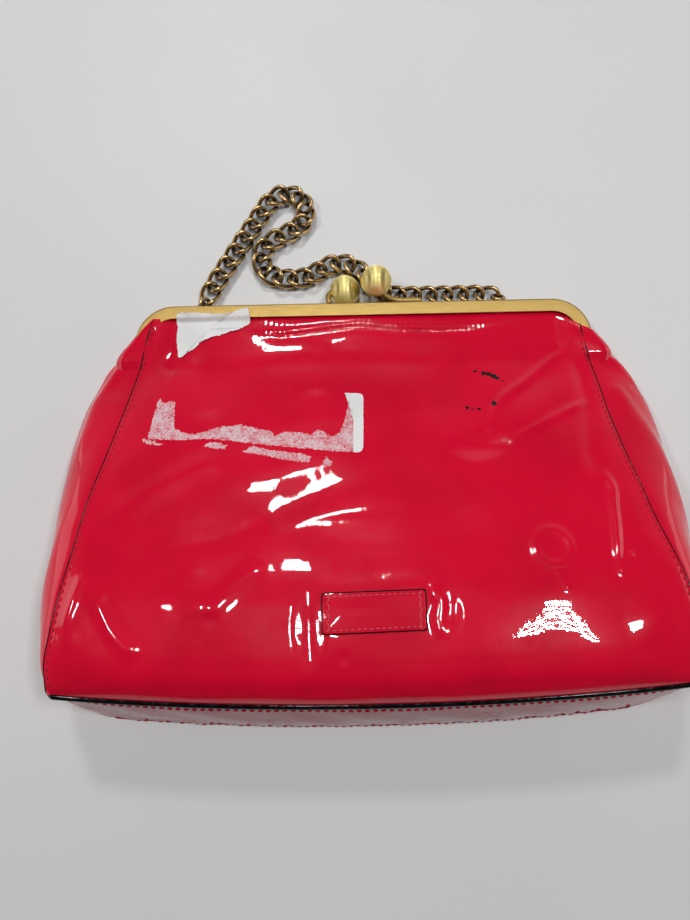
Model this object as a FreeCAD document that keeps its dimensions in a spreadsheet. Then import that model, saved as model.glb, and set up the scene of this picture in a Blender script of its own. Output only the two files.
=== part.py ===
import FreeCAD, Part
import math
import os
import Sketcher
from FreeCAD import Vector

os.makedirs("parts", exist_ok=True)
doc = FreeCAD.newDocument("KissLockBag")

# Sizes in millimetres. The bag lies on its back: X runs across it, Y from the base to the
# frame, Z up from the table. The origin is under the middle of the bag, on the table.
sheet = doc.addObject("Spreadsheet::Sheet", "Dimensions")
sizes = [
    ("frame_half_width", "137.5"),
    ("frame_top", "114.4"),
    ("band_width", "8"),
    ("corner_radius", "23.4"),
    ("leg_end", "88.7"),
    ("channel_depth", "8"),
    ("channel_wall", "1.2"),
    ("edge_fillet", "1.2"),
    ("rear_bottom", "0.6"),
    ("half_gap", "0.6"),
    ("front_bottom", "=rear_bottom + channel_depth + half_gap"),
    ("hinge_line", "82.7"),
    ("hinge_level", "=rear_bottom + channel_depth + half_gap / 2"),
    ("ear_radius", "5.5"),
    ("ear_thick", "2.5"),
    ("ear_outer", "135"),
    ("ear_space", "0.4"),
    ("ear_reach", "9.3"),
    ("pin_radius", "1.5"),
    ("pin_play", "0.05"),
    ("rivet_radius", "2.6"),
    ("rivet_head", "0.8"),
    ("ball_radius", "9.3"),
    ("rear_ball_side", "8.4"),
    ("rear_ball_reach", "127.05"),
    ("rear_ball_level", "18.6"),
    ("front_ball_side", "-10.6"),
    ("front_ball_reach", "125"),
    ("front_ball_level", "9.6"),
    ("arm_radius", "1.8"),
    ("lug_ring_radius", "3.7"),
    ("lug_wire_radius", "1.1"),
    ("lug_stand", "5.2"),
    ("lug_level", "4.7"),
    ("left_lug_side", "-98"),
    ("link_half_length", "7.3"),
    ("link_half_width", "5.2"),
    ("link_twist", "2.25"),
    ("link_wire_radius", "1.35"),
    ("link_pitch", "9.75"),
    ("leather", "1.8"),
    ("lining", "0.6"),
    ("layer_gap", "0.3"),
    ("board", "1.6"),
    ("welt_radius", "1.6"),
    ("front_edge_mid", "110"),
    ("front_edge_side", "102.9"),
    ("base_half_width", "160"),
    ("rear_edge_mid", "=rear_ball_reach + ball_radius - 2 * welt_radius - 0.1"),
    ("rear_edge_side", "126"),
    ("foot_half_width", "149.5"),
    ("base_top", "66.4"),
    ("patch_length", "50"),
    ("patch_height", "20"),
    ("patch_thick", "1.2"),
    ("patch_low", "-75.3"),
]
for row, (alias, value) in enumerate(sizes, start=1):
    sheet.set(f"A{row}", alias)
    sheet.set(f"B{row}", value)
    sheet.setAlias(f"B{row}", alias)
doc.recompute()


def size(name):
    return float(sheet.get(name))


def feature(label, shape):
    item = doc.addObject("Part::Feature", label)
    item.Label = label
    item.Shape = shape
    return item


def primitive(kind, label, at, **rules):
    item = doc.addObject(kind, label)
    for name, rule in rules.items():
        item.setExpression(name, rule)
    for letter, rule in zip("xyz", at):
        item.setExpression("Placement.Base." + letter, rule)
    return item


def plane_of(body, role):
    for item in body.Origin.OriginFeatures:
        if item.Role == role:
            return item
    raise RuntimeError("plane " + role + " is missing")


def add_sketch(body, name, level, vertices, curves):
    # vertices hold a pair of rules each, curves hold None for a line or (centre, radius rule)
    sketch = body.newObject("Sketcher::SketchObject", name)
    sketch.AttachmentSupport = [(plane_of(body, "XY_Plane"), "")]
    sketch.MapMode = "FlatFace"
    sketch.setExpression("AttachmentOffset.Base.z", level)
    points = []
    for across, along in vertices:
        points.append(Vector(sheet_value(across), sheet_value(along), 0))
    count = len(points)
    for number, curve in enumerate(curves):
        first = points[number]
        last = points[(number + 1) % count]
        if curve is None:
            sketch.addGeometry(Part.LineSegment(first, last), False)
        else:
            centre = Vector(sheet_value(curve[0]), sheet_value(curve[1]), 0)
            radius = sheet_value(curve[2])
            middle = (first + last) * 0.5 - centre
            middle = centre + middle * (radius / middle.Length)
            sketch.addGeometry(Part.Arc(first, middle, last), False)
    ends = []
    for number, curve in enumerate(curves):
        first = points[number]
        start = sketch.getPoint(number, 1)
        ends.append((1, 2) if (start - first).Length < 1e-6 else (2, 1))
    for number in range(count):
        follower = (number + 1) % count
        sketch.addConstraint(Sketcher.Constraint(
            "Coincident", number, ends[number][1], follower, ends[follower][0]))
    for number, (across, along) in enumerate(vertices):
        for kind, rule in (("DistanceX", across), ("DistanceY", along)):
            value = sheet_value(rule)
            place = sketch.addConstraint(Sketcher.Constraint(
                kind, -1, 1, number, ends[number][0], value))
            sketch.setExpression(f"Constraints[{place}]", rule)
    for number, curve in enumerate(curves):
        if curve is not None:
            place = sketch.addConstraint(Sketcher.Constraint(
                "Radius", number, sheet_value(curve[2])))
            sketch.setExpression(f"Constraints[{place}]", curve[2])
    return sketch


def sheet_value(rule):
    return float(sheet.evalExpression(rule))


# The two frame halves are U-shaped channels, open towards the inside of the U.
def frame_half(label, level):
    body = doc.addObject("PartDesign::Body", label + "_channel")
    side = "Dimensions.frame_half_width"
    band = "Dimensions.band_width"
    turn = "Dimensions.corner_radius"
    top = "Dimensions.frame_top"
    low = "Dimensions.leg_end"
    bend = f"{top} - {turn}"
    wall = "Dimensions.channel_wall"
    outline = add_sketch(body, label + "_outline", level, [
        (side, low),
        (side, bend),
        (f"{side} - {turn}", top),
        (f"{turn} - {side}", top),
        (f"-{side}", bend),
        (f"-{side}", low),
        (f"{band} - {side}", low),
        (f"{band} - {side}", bend),
        (f"{turn} - {side}", f"{top} - {band}"),
        (f"{side} - {turn}", f"{top} - {band}"),
        (f"{side} - {band}", bend),
        (f"{side} - {band}", low),
    ], [
        None,
        (f"{side} - {turn}", bend, turn),
        None,
        (f"{turn} - {side}", bend, turn),
        None,
        None,
        None,
        (f"{turn} - {side}", bend, f"{turn} - {band}"),
        None,
        (f"{side} - {turn}", bend, f"{turn} - {band}"),
        None,
        None,
    ])
    pad = body.newObject("PartDesign::Pad", label + "_pad")
    pad.Profile = outline
    pad.setExpression("Length", "Dimensions.channel_depth")
    doc.recompute()
    before = pad.Shape.Volume
    inner = f"{turn} - {band} - 1"
    outer = f"{turn} - {wall}"
    slot = add_sketch(body, label + "_slot_outline",
                      f"{level} + Dimensions.channel_depth - {wall}", [
        (f"{side} - {wall}", bend),
        (f"{side} - {turn}", f"{top} - {wall}"),
        (f"{turn} - {side}", f"{top} - {wall}"),
        (f"{wall} - {side}", bend),
        (f"{band} + 1 - {side}", bend),
        (f"{turn} - {side}", f"{top} - {band} - 1"),
        (f"{side} - {turn}", f"{top} - {band} - 1"),
        (f"{side} - {band} - 1", bend),
    ], [
        (f"{side} - {turn}", bend, outer),
        None,
        (f"{turn} - {side}", bend, outer),
        None,
        (f"{turn} - {side}", bend, inner),
        None,
        (f"{side} - {turn}", bend, inner),
        None,
    ])
    groove = body.newObject("PartDesign::Pocket", label + "_groove")
    groove.Profile = slot
    groove.setExpression("Length", "Dimensions.channel_depth - 2 * Dimensions.channel_wall")
    doc.recompute()
    print(label, "groove takes", round(before - groove.Shape.Volume), "mm3")
    names = []
    limit = size("frame_half_width") - size("corner_radius")
    for number, edge in enumerate(groove.Shape.Edges, start=1):
        box = edge.BoundBox
        if box.ZLength > 0.01 or box.YMax < size("leg_end") + 0.1:
            continue
        on_top = box.YMin > size("frame_top") - 0.01
        on_side = min(abs(box.XMin), abs(box.XMax)) > size("frame_half_width") - 0.01
        on_turn = False
        if box.XLength > 10 and box.YLength > 10:
            middle = edge.valueAt((edge.FirstParameter + edge.LastParameter) / 2)
            across = abs(middle.x) - limit
            along = middle.y - size("frame_top") + size("corner_radius")
            on_turn = math.hypot(across, along) > size("corner_radius") - 0.1
        if on_top or on_side or on_turn:
            names.append(f"Edge{number}")
    rounding = body.newObject("PartDesign::Fillet", label + "_rounding")
    rounding.Base = (groove, names)
    rounding.setExpression("Radius", "Dimensions.edge_fillet")
    body.Tip = rounding
    doc.recompute()
    return body


def ear_set(label, outer, strip_level):
    pieces = []
    for side in (-1, 1):
        start = f"-({outer})" if side < 0 else f"{outer} - Dimensions.ear_thick"
        disc = doc.addObject("Part::Cylinder", label + ("_left_disc" if side < 0 else "_right_disc"))
        disc.setExpression("Radius", "Dimensions.ear_radius")
        disc.setExpression("Height", "Dimensions.ear_thick")
        disc.Placement = FreeCAD.Placement(Vector(0, 0, 0), FreeCAD.Rotation(Vector(0, 1, 0), 90))
        disc.setExpression("Placement.Base.x", start)
        disc.setExpression("Placement.Base.y", "Dimensions.hinge_line")
        disc.setExpression("Placement.Base.z", "Dimensions.hinge_level")
        strip = primitive("Part::Box", label + ("_left_strip" if side < 0 else "_right_strip"),
                          (start, "Dimensions.hinge_line", strip_level),
                          Length="Dimensions.ear_thick", Width="Dimensions.ear_reach",
                          Height="Dimensions.ear_radius - 0.9")
        pieces += [disc, strip]
    return pieces


def pin_set(label, radius):
    pieces = []
    for side in (-1, 1):
        pin = doc.addObject("Part::Cylinder", label + ("_left" if side < 0 else "_right"))
        pin.setExpression("Radius", radius)
        pin.Height = 12
        pin.Placement = FreeCAD.Placement(Vector(0, 0, 0), FreeCAD.Rotation(Vector(0, 1, 0), 90))
        pin.Placement.Base = Vector(-138 if side < 0 else 126, 0, 0)
        pin.setExpression("Placement.Base.y", "Dimensions.hinge_line")
        pin.setExpression("Placement.Base.z", "Dimensions.hinge_level")
        pieces.append(pin)
    return pieces


def whole_half(label, level, outer, strip_level):
    body = frame_half(label, level)
    joined = doc.addObject("Part::MultiFuse", label + "_joined")
    joined.Shapes = [body] + ear_set(label, outer, strip_level)
    holes = doc.addObject("Part::Compound", label + "_pin_holes")
    holes.Links = pin_set(label + "_hole", "Dimensions.pin_radius + Dimensions.pin_play")
    half = doc.addObject("Part::Cut", label)
    half.Base = joined
    half.Tool = holes
    half.Label = label
    return half


inner_ear = "Dimensions.ear_outer - Dimensions.ear_thick - Dimensions.ear_space"
rear_frame = whole_half("rear_frame", "Dimensions.rear_bottom", "Dimensions.ear_outer",
                        "Dimensions.hinge_level - Dimensions.ear_radius")
front_frame = whole_half("front_frame", "Dimensions.front_bottom", inner_ear,
                         "Dimensions.hinge_level + 0.9")

# Hinge rivets: a plain pin with a head at each end, through both ears.
rivet_parts = []
for side in (-1, 1):
    word = "left" if side < 0 else "right"
    outer_face = "Dimensions.ear_outer"
    inner_face = f"{inner_ear} - Dimensions.ear_thick - 0.1"
    for part, low, high, radius in (
            ("shank", inner_face, outer_face, "Dimensions.pin_radius"),
            ("outer_head", outer_face, f"{outer_face} + Dimensions.rivet_head",
             "Dimensions.rivet_radius"),
            ("inner_head", f"{inner_face} - Dimensions.rivet_head", inner_face,
             "Dimensions.rivet_radius")):
        turned = doc.addObject("Part::Cylinder", f"rivet_{word}_{part}")
        turned.setExpression("Radius", radius)
        turned.setExpression("Height", f"{high} - ({low})")
        turned.Placement = FreeCAD.Placement(Vector(0, 0, 0),
                                             FreeCAD.Rotation(Vector(0, 1, 0), 90))
        turned.setExpression("Placement.Base.x", low if side > 0 else f"-({high})")
        turned.setExpression("Placement.Base.y", "Dimensions.hinge_line")
        turned.setExpression("Placement.Base.z", "Dimensions.hinge_level")
        rivet_parts.append(turned)
rivets = doc.addObject("Part::MultiFuse", "hinge_rivets")
rivets.Shapes = rivet_parts
rivets.Label = "hinge_rivets"


# Kiss lock: each half carries a ball on a bent arm, and each ball leans over the other half.
def ball(label, key):
    item = primitive("Part::Sphere", label,
                     (f"Dimensions.{key}_side", f"Dimensions.{key}_reach",
                      f"Dimensions.{key}_level"), Radius="Dimensions.ball_radius")
    item.Label = label
    return item


rear_lock_ball = ball("rear_lock_ball", "rear_ball")
front_lock_ball = ball("front_lock_ball", "front_ball")


def tube(points, radius):
    curve = Part.BSplineCurve()
    curve.interpolate(points)
    path = Part.Wire([curve.toShape()])
    ring = Part.Circle(points[0], curve.tangent(curve.FirstParameter)[0], radius)
    return path.makePipeShell([Part.Wire([ring.toShape()])], True, False)


def lock_arm(label, points, centre):
    bar = tube(points + [centre], size("arm_radius"))
    foot = Part.makeSphere(size("arm_radius"), points[0])
    clear = Part.makeSphere(size("ball_radius") + 0.02, centre)
    return feature(label, bar.fuse(foot).cut(clear).removeSplitter())


rear_centre = Vector(size("rear_ball_side"), size("rear_ball_reach"), size("rear_ball_level"))
front_centre = Vector(size("front_ball_side"), size("front_ball_reach"),
                      size("front_ball_level"))
lift = size("frame_top") + size("arm_radius")
middle_front = size("front_bottom") + size("channel_depth") / 2


def strip_foot(low, high, reach, top_level):
    # A strip that stands on the top edge, in two steps so that it clears the other half, and
    # thinner below, where the chain lies beside it.
    step = size("rear_bottom") + size("channel_depth") - 0.6
    floor = size("rear_bottom") + 0.8
    lower = Part.makeBox(high - low, reach - 0.95, step - floor,
                         Vector(low, size("frame_top") + 0.02, floor))
    upper = Part.makeBox(high - low, reach - 0.5, top_level - step,
                         Vector(low, size("frame_top") + 0.5, step))
    return lower.fuse(upper)


arm_line = size("frame_top") + size("arm_radius") + 0.8
rear_lock_arm = lock_arm("rear_lock_arm", [
    Vector(35, arm_line, 11.2),
    Vector(27, arm_line, 11.6),
    Vector(19, arm_line + 0.4, 12.6),
    Vector(13.5, arm_line + 2.6, 14.6),
], rear_centre)
rear_foot = strip_foot(30, 37, 1.9, 12.4)
rear_lock_arm.Shape = rear_lock_arm.Shape.fuse(rear_foot).removeSplitter()
front_lock_arm = lock_arm("front_lock_arm", [
    Vector(-20.3, lift + 0.1, middle_front),
    Vector(-20.9, lift + 2.9, middle_front - 0.6),
    Vector(-19.9, lift + 5.8, middle_front - 1.7),
], front_centre)


# Chain handle. The centre line of a curb link is x = a cos t, y = b sin t, z = c sin 2t, and
# it is drawn as pairs of tangent arcs, so that every face of the round wire is a torus.
def link_point(turn):
    return Vector(size("link_half_length") * math.cos(turn),
                  size("link_half_width") * math.sin(turn),
                  size("link_twist") * math.sin(2 * turn))


def link_heading(turn):
    heading = Vector(-size("link_half_length") * math.sin(turn),
                     size("link_half_width") * math.cos(turn),
                     2 * size("link_twist") * math.cos(2 * turn))
    return heading.normalize()


def tangent_arc(first, heading, last):
    chord = last - first
    length = chord.Length
    along = Vector(chord).normalize()
    aside = heading - along * heading.dot(along)
    if aside.Length < 1e-6:
        return Part.LineSegment(first, last).toShape(), 1e9
    half = math.acos(max(-1.0, min(1.0, heading.dot(along))))
    middle = (first + last) * 0.5 + aside.normalize() * (length / 2 * math.tan(half / 2))
    return Part.Arc(first, middle, last).toShape(), length / 2 / math.sin(half)


def link_wire():
    edges = []
    radii = []
    steps = 10
    for number in range(steps):
        one = 2 * math.pi * number / steps
        two = 2 * math.pi * (number + 1) / steps
        first, last = link_point(one), link_point(two)
        enter, leave = link_heading(one), link_heading(two)
        span = last - first
        both = enter + leave
        level = 2 * (1 - enter.dot(leave))
        reach = (-span.dot(both) + math.sqrt(span.dot(both) ** 2 + level * span.dot(span))) / level
        middle = (first + enter * reach + last - leave * reach) * 0.5
        arc, radius = tangent_arc(first, enter, middle)
        edges.append(arc)
        radii.append(radius)
        arc, radius = tangent_arc(last, leave * -1, middle)
        arc.reverse()
        edges.append(arc)
        radii.append(radius)
    print("link curve radii", round(min(radii), 2), "to", round(max(radii), 2))
    return Part.Wire(edges)


def link_solid():
    faces = []
    for edge in Part.__sortEdges__(link_wire().Edges):
        ring = Part.Circle(edge.valueAt(edge.FirstParameter),
                           edge.tangentAt(edge.FirstParameter), size("link_wire_radius"))
        faces += Part.Wire([edge]).makePipe(Part.Wire([ring.toShape()])).Faces
    return Part.makeSolid(Part.makeShell(faces))


# The route of the chain on the table, from the left lug, round a loop and a fold, and back
# under the raised ball to the right lug. Each move is (straight length, 0, 0) or
# (0, turn in degrees with left as plus, radius).
chain_moves = [
    (0, -12, 90), (60, 0, 0), (0, -214, 13.3), (15.5, 0, 0), (0, 156, 13.8), (11, 0, 0),
    (0, 42, 19), (1.5, 0, 0), (0, -88, 17), (18, 0, 0), (0, 46, 17), (51.5, 0, 0),
    (0, -20, 30),
]
lug_reach = size("frame_top") + size("lug_stand")


def chain_legs():
    x, y = size("left_lug_side"), lug_reach
    heading = math.radians(70)
    legs = []
    for length, turn, radius in chain_moves:
        angle = math.radians(turn)
        if turn:
            length = radius * abs(angle)
            bend = math.copysign(1 / radius, turn)
            legs.append((length, x, y, heading, bend))
            x += (math.sin(heading + angle) - math.sin(heading)) / bend
            y -= (math.cos(heading + angle) - math.cos(heading)) / bend
            heading += angle
        else:
            legs.append((length, x, y, heading, 0))
            x += length * math.cos(heading)
            y += length * math.sin(heading)
    return legs, Vector(x, y, 0)


def chain_spot(legs, length):
    for leg, x, y, heading, bend in legs:
        if length <= leg + 1e-9:
            break
        length -= leg
    if not bend:
        return Vector(x + length * math.cos(heading), y + length * math.sin(heading), 0)
    turned = heading + bend * length
    return Vector(x + (math.sin(turned) - math.sin(heading)) / bend,
                  y - (math.cos(turned) - math.cos(heading)) / bend, 0)


def chain_frames():
    legs, end = chain_legs()
    total = sum(leg[0] for leg in legs)
    reach = size("link_half_length")
    count = int(round((total - 2 * reach) / size("link_pitch"))) + 1
    pitch = (total - 2 * reach) / (count - 1)
    print("chain route", round(total, 1), "mm, links", count, "pitch", round(pitch, 3),
          "least curve radius", min(radius for one, two, radius in chain_moves if radius))
    spots = []
    for number in range(count):
        here = reach + pitch * number
        back = chain_spot(legs, max(here - reach, 0))
        ahead = chain_spot(legs, min(here + reach, total - 1e-6))
        spot = (back + ahead) * 0.25 + chain_spot(legs, here) * 0.5
        along = (ahead - back).normalize()
        spots.append((Vector(spot.x, spot.y, size("lug_level")), along))
    return spots, end


def placed(shape, spot, along):
    across = Vector(0, 0, 1).cross(along)
    matrix = FreeCAD.Matrix(along.x, across.x, 0, spot.x,
                            along.y, across.y, 0, spot.y,
                            along.z, across.z, 1, spot.z,
                            0, 0, 0, 1)
    copy = shape.copy()
    copy.Placement = FreeCAD.Placement(matrix)
    return copy


one_link = link_solid()
frames, chain_end = chain_frames()
links = [placed(one_link, spot, along) for spot, along in frames]
handle_chain = feature("handle_chain", Part.makeCompound(links))
gaps = []
for first in range(len(links)):
    for second in range(first + 1, len(links)):
        if (frames[first][0] - frames[second][0]).Length < 18:
            gaps.append((round(links[first].distToShape(links[second])[0], 3), first, second))
gaps.sort()
print("least gaps between links", gaps[:6])


# Lugs: a small ring on a short post, turned so that the end link passes square through it.
def chain_lug(label, centre, frame, sign):
    spot, along = frame
    across = Vector(0, 0, 1).cross(along)
    turn = math.pi if sign > 0 else 0
    heading = link_heading(turn)
    axis = along * heading.x + across * heading.y + Vector(0, 0, 1) * heading.z
    centre = Vector(centre.x, centre.y, size("lug_level"))
    ring = Part.makeTorus(size("lug_ring_radius"), size("lug_wire_radius"), centre, axis)
    down = Vector(0, -1, 0)
    inward = down - axis * down.dot(axis)
    touch = centre + inward.normalize() * size("lug_ring_radius")
    foot = Vector(touch.x, size("frame_top") + 0.05, touch.z)
    post = Part.makeCylinder(size("lug_wire_radius"), (touch - foot).Length, foot, touch - foot)
    return feature(label, ring.fuse(post).removeSplitter())


left_chain_lug = chain_lug("left_chain_lug", Vector(size("left_lug_side"), lug_reach, 0),
                           frames[0], 1)
right_chain_lug = chain_lug("right_chain_lug", chain_end, frames[-1], -1)


# Leather panels. A panel is a bent strip seen from the side, cut to an outline seen from above.
def spline(points):
    curve = Part.BSplineCurve()
    curve.interpolate(points)
    return curve


def offset_points(points, depth):
    moved = []
    for number, spot in enumerate(points):
        before = points[max(number - 1, 0)]
        after = points[min(number + 1, len(points) - 1)]
        heading = (after - before).normalize()
        aside = Vector(0, -heading.z, heading.y)
        if aside.z < 0:
            aside = aside * -1
        moved.append(spot - aside * depth)
    return moved


def profile_edges(points):
    # level points at the start stay one straight run, so that the leather rests flat
    flat = 0
    while flat + 1 < len(points) and abs(points[flat + 1].z - points[0].z) < 0.001:
        flat += 1
    rest = points[flat:]
    edges = []
    if flat > 0:
        edges.append(Part.LineSegment(points[0], points[flat]).toShape())
    if flat > 0 and len(rest) > 1:
        curve = Part.BSplineCurve()
        curve.interpolate(Points=rest, InitialTangent=Vector(0, 1, 0),
                          FinalTangent=(rest[-1] - rest[-2]).normalize())
        edges.append(curve.toShape())
    elif len(rest) > 1:
        edges.append(spline(rest).toShape())
    return edges


def side_strip(points, top, bottom):
    width = 200
    shift = Vector(-width, 0, 0)
    upper = [spot + shift for spot in offset_points(points, top)]
    lower = [spot + shift for spot in offset_points(points, bottom)]
    edges = profile_edges(upper) + profile_edges(lower)
    edges.append(Part.LineSegment(upper[-1], lower[-1]).toShape())
    edges.append(Part.LineSegment(lower[0], upper[0]).toShape())
    return Part.Face(Part.Wire(Part.__sortEdges__(edges))).extrude(Vector(2 * width, 0, 0))


def outline_prism(half, low_mid, inset):
    # half runs up the right side as (x, y) pairs, low_mid is the bow of the lower edge
    right = [Vector(x - inset, y, -5) for x, y in half]
    left = [Vector(-x, y, z) for x, y, z in reversed(right)]
    sides = []
    for run in (right, left):
        for one, two in zip(run[:-1], run[1:]):
            sides.append(Part.LineSegment(one, two).toShape())
    over = Part.LineSegment(right[-1], left[0]).toShape()
    under = Part.Arc(left[-1], Vector(0, low_mid, -5), right[0]).toShape()
    wire = Part.Wire(Part.__sortEdges__(sides + [over, under]))
    return Part.Face(wire).extrude(Vector(0, 0, 110))


def panel(label, points, top, bottom, half, low_mid, inset=0.0):
    solid = side_strip(points, top, bottom).common(outline_prism(half, low_mid, inset))
    return feature(label, solid)


def smooth_side(pairs, count):
    curve = spline([Vector(x, y, 0) for x, y in pairs])
    total = curve.length()
    spots = [curve.value(curve.parameterAtDistance(total * number / count, curve.FirstParameter))
             for number in range(count + 1)]
    return [(spot.x, spot.y) for spot in spots]


leather = size("leather")
lining = size("lining")
layer_gap = size("layer_gap")
inner_layer = leather + layer_gap
front_mid = size("front_edge_mid")
front_side = size("front_edge_side")
rear_mid = size("rear_edge_mid")
rear_side = size("rear_edge_side")
base_half = size("base_half_width")
foot_half = size("foot_half_width")

front_profile = [Vector(0, y, z) for y, z in (
    (-114, 68.4), (-107, 69.5), (-99, 71), (-77, 72), (-52, 66.5), (-23, 58.5), (-6, 52.5),
    (26, 40), (51, 29), (77, 19))]
front_side_line = [(base_half, -front_side)] + smooth_side([
    (159.6, -92), (157.5, -54), (151.2, -23), (148.2, -6), (141, 26), (136.6, 51),
    (128.9, 76.8)], 14)
front_panel_lower = panel("front_panel_lower", front_profile, 0, leather, front_side_line,
                          -front_mid)
lining_side = [(x, y) for x, y in front_side_line if y > -front_side + 8]
lining_side = [(lining_side[0][0], -front_side + 8)] + lining_side
front_lining_lower = panel("front_lining_lower", front_profile, inner_layer,
                           inner_layer + lining, lining_side, -front_mid + 9, 5.0)

front_channel = size("front_bottom") + size("channel_wall")
upper_top = front_channel + 3.9
upper_profile = [Vector(0, y, upper_top) for y in (80, 90, 100, 110, 114)]
slot_side = size("frame_half_width") - size("channel_wall") - 1.0
leg_side = size("frame_half_width") - size("band_width") - 0.6
bend_start = size("frame_top") - size("corner_radius")


def channel_side(start):
    low = bend_start + 1.2
    run = [(leg_side, start), (leg_side, low)]
    centre = size("frame_half_width") - size("corner_radius")
    radius = slot_side - centre
    for number in range(7):
        angle = math.radians(5 + 85 * number / 6)
        run.append((centre + radius * math.cos(angle), bend_start + radius * math.sin(angle)))
    run[2] = (run[2][0], low + 0.1)
    return run


front_panel_upper = panel("front_panel_upper", upper_profile, 0, leather, channel_side(84),
                          84.01)
lining_top = [(leg_side - 4, 84.5), (leg_side - 4, 96), (leg_side - 10, 104)]
front_lining_upper = panel("front_lining_upper", upper_profile, inner_layer,
                           inner_layer + lining, lining_top, 84.51)

rear_profile = [Vector(0, y, z) for y, z in (
    (-140, leather), (-100, leather), (0, leather), (30, leather), (45, leather),
    (53, leather + 0.01), (60, leather + 0.14), (67, leather + 0.7), (74, leather + 1.75),
    (81, leather + 2.75), (88, leather + 3.18), (96, leather + 3.2), (105, leather + 3.2),
    (114, leather + 3.2))]
rear_side_line = [(foot_half - 0.9, -rear_side)] + smooth_side([
    (148.4, -120), (144.9, -70), (143.9, -38), (146.2, -12), (149.2, 22), (147.8, 50),
    (137.0, 74), (leg_side, 79)], 16)
rear_panel = panel("rear_panel", rear_profile, 0, leather,
                   rear_side_line[:-1] + channel_side(79), -rear_mid)
rear_lining_side = [(x, y) for x, y in rear_side_line if -rear_side + 9 < y < 70]
rear_lining_side += [(leg_side - 4, 76), (leg_side - 4, 96), (leg_side - 10, 104)]
rear_lining = panel("rear_lining", rear_profile, -layer_gap - lining, -layer_gap,
                    rear_lining_side, -rear_mid + 10, 4.0)


# The base is a sloping wall between the rear edge on the table and the front edge above.
def base_layer(label, start, depth, low, high, inset):
    top = size("base_top")
    wires = []
    for level in (low, high):
        share = level / top
        half = foot_half + (base_half - foot_half) * share - inset
        side = -rear_side + (rear_side - front_side) * share
        middle = -rear_mid + (rear_mid - front_mid) * share
        outer_mid = Vector(0, middle + start, level)
        inner_mid = Vector(0, middle + start + depth, level)
        outer = [Vector(x, side + start, level) for x in (-half, half)]
        inner = [Vector(x, side + start + depth, level) for x in (-half, half)]
        wires.append(Part.Wire([
            Part.Arc(outer[0], outer_mid, outer[1]).toShape(),
            Part.LineSegment(outer[1], inner[1]).toShape(),
            Part.Arc(inner[1], inner_mid, inner[0]).toShape(),
            Part.LineSegment(inner[0], outer[0]).toShape(),
        ]))
    return feature(label, Part.makeLoft(wires, True, True))


base_low = leather + 0.4
base_panel = base_layer("base_panel", 0, leather, base_low, size("base_top"), 0)
base_board = base_layer("base_board", inner_layer, size("board"), base_low + 3,
                        size("base_top") - 4, 8)
base_lining = base_layer("base_lining", inner_layer + size("board") + layer_gap, lining,
                         base_low + 1.5, size("base_top") - 2, 8)


def edge_welt(label, side, middle, half, level):
    bead = size("welt_radius")
    shift = bead + 0.1
    ends = [Vector(x, -side - shift, level) for x in (-half, half)]
    arc = Part.Arc(ends[0], Vector(0, -middle - shift, level), ends[1])
    path = Part.Wire([arc.toShape()])
    print(label, "curve radius", round(path.Edges[0].Curve.Radius, 1))
    ring = Part.Circle(ends[0], arc.tangent(arc.FirstParameter)[0], bead)
    return feature(label, path.makePipeShell([Part.Wire([ring.toShape()])], True, False))


front_base_welt = edge_welt("front_base_welt", front_side, front_mid, base_half, 69.6)
rear_base_welt = edge_welt("rear_base_welt", rear_side, rear_mid, foot_half,
                           size("welt_radius") + 0.2)


# Side gussets: each bulges past the seam between the rear and front panels.
gusset_stations = [
    (75, 138.0, 75, 149.0, 131.0, 16.6),
    (50, 149.0, 50.5, 166.0, 137.0, 26.6),
    (22, 150.4, 25.5, 170.5, 141.5, 37.2),
    (-12, 147.4, -6.5, 172.5, 148.6, 49.6),
    (-38, 145.0, -23.5, 172.5, 151.6, 55.4),
    (-70, 146.0, -52.5, 170.0, 157.6, 63.4),
    (-123.2, 149.4, -100.3, 157.6, 159.6, 66.4),
]


def gusset_section(station, start, depth, mirror):
    rear_y, rear_x, seam_y, bulge_x, seam_x, seam_z = station
    foot = 0.25

    def spot(x, z):
        share = z / seam_z
        return Vector(x * mirror, rear_y + (seam_y - rear_y) * share, z)

    across = max(bulge_x - seam_x, 0)
    up = seam_z - foot
    radius = across + up - math.sqrt(2 * across * up)
    centre = Vector(bulge_x - radius, 0, foot + radius)
    first = Vector(rear_x, 0, foot)
    if centre.x < rear_x - 2.5:
        # a nearly flat side: one arc through the foot, the bulge and the seam
        level = foot + up * 0.5
        one, two, three = (rear_x, foot), (bulge_x, level), (seam_x, seam_z)
        area = 2 * (one[0] * (two[1] - three[1]) + two[0] * (three[1] - one[1])
                    + three[0] * (one[1] - two[1]))
        sums = [p[0] ** 2 + p[1] ** 2 for p in (one, two, three)]
        cx = (sums[0] * (two[1] - three[1]) + sums[1] * (three[1] - one[1])
              + sums[2] * (one[1] - two[1])) / area
        cz = (sums[0] * (three[0] - two[0]) + sums[1] * (one[0] - three[0])
              + sums[2] * (two[0] - one[0])) / area
        centre = Vector(cx, 0, cz)
        radius = math.hypot(one[0] - cx, one[1] - cz)
    angle_one = math.atan2(first.z - centre.z, first.x - centre.x)
    if centre.x >= rear_x - 2.5:
        angle_one = -math.pi / 2
    angle_two = math.atan2(seam_z - centre.z, seam_x - centre.x)
    if angle_two < angle_one:
        angle_two += 2 * math.pi
    radii = (radius - start, radius - start - depth)
    rims = []
    for rim in radii:
        row = []
        for number in range(3):
            angle = angle_one + (angle_two - angle_one) * number / 2
            row.append(spot(centre.x + rim * math.cos(angle), centre.z + rim * math.sin(angle)))
        rims.append(row)
    outer, inner = rims
    return Part.Wire([
        Part.Arc(*outer).toShape(),
        Part.LineSegment(outer[2], inner[2]).toShape(),
        Part.Arc(*inner[::-1]).toShape(),
        Part.LineSegment(inner[0], outer[0]).toShape(),
    ]), radius


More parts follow.
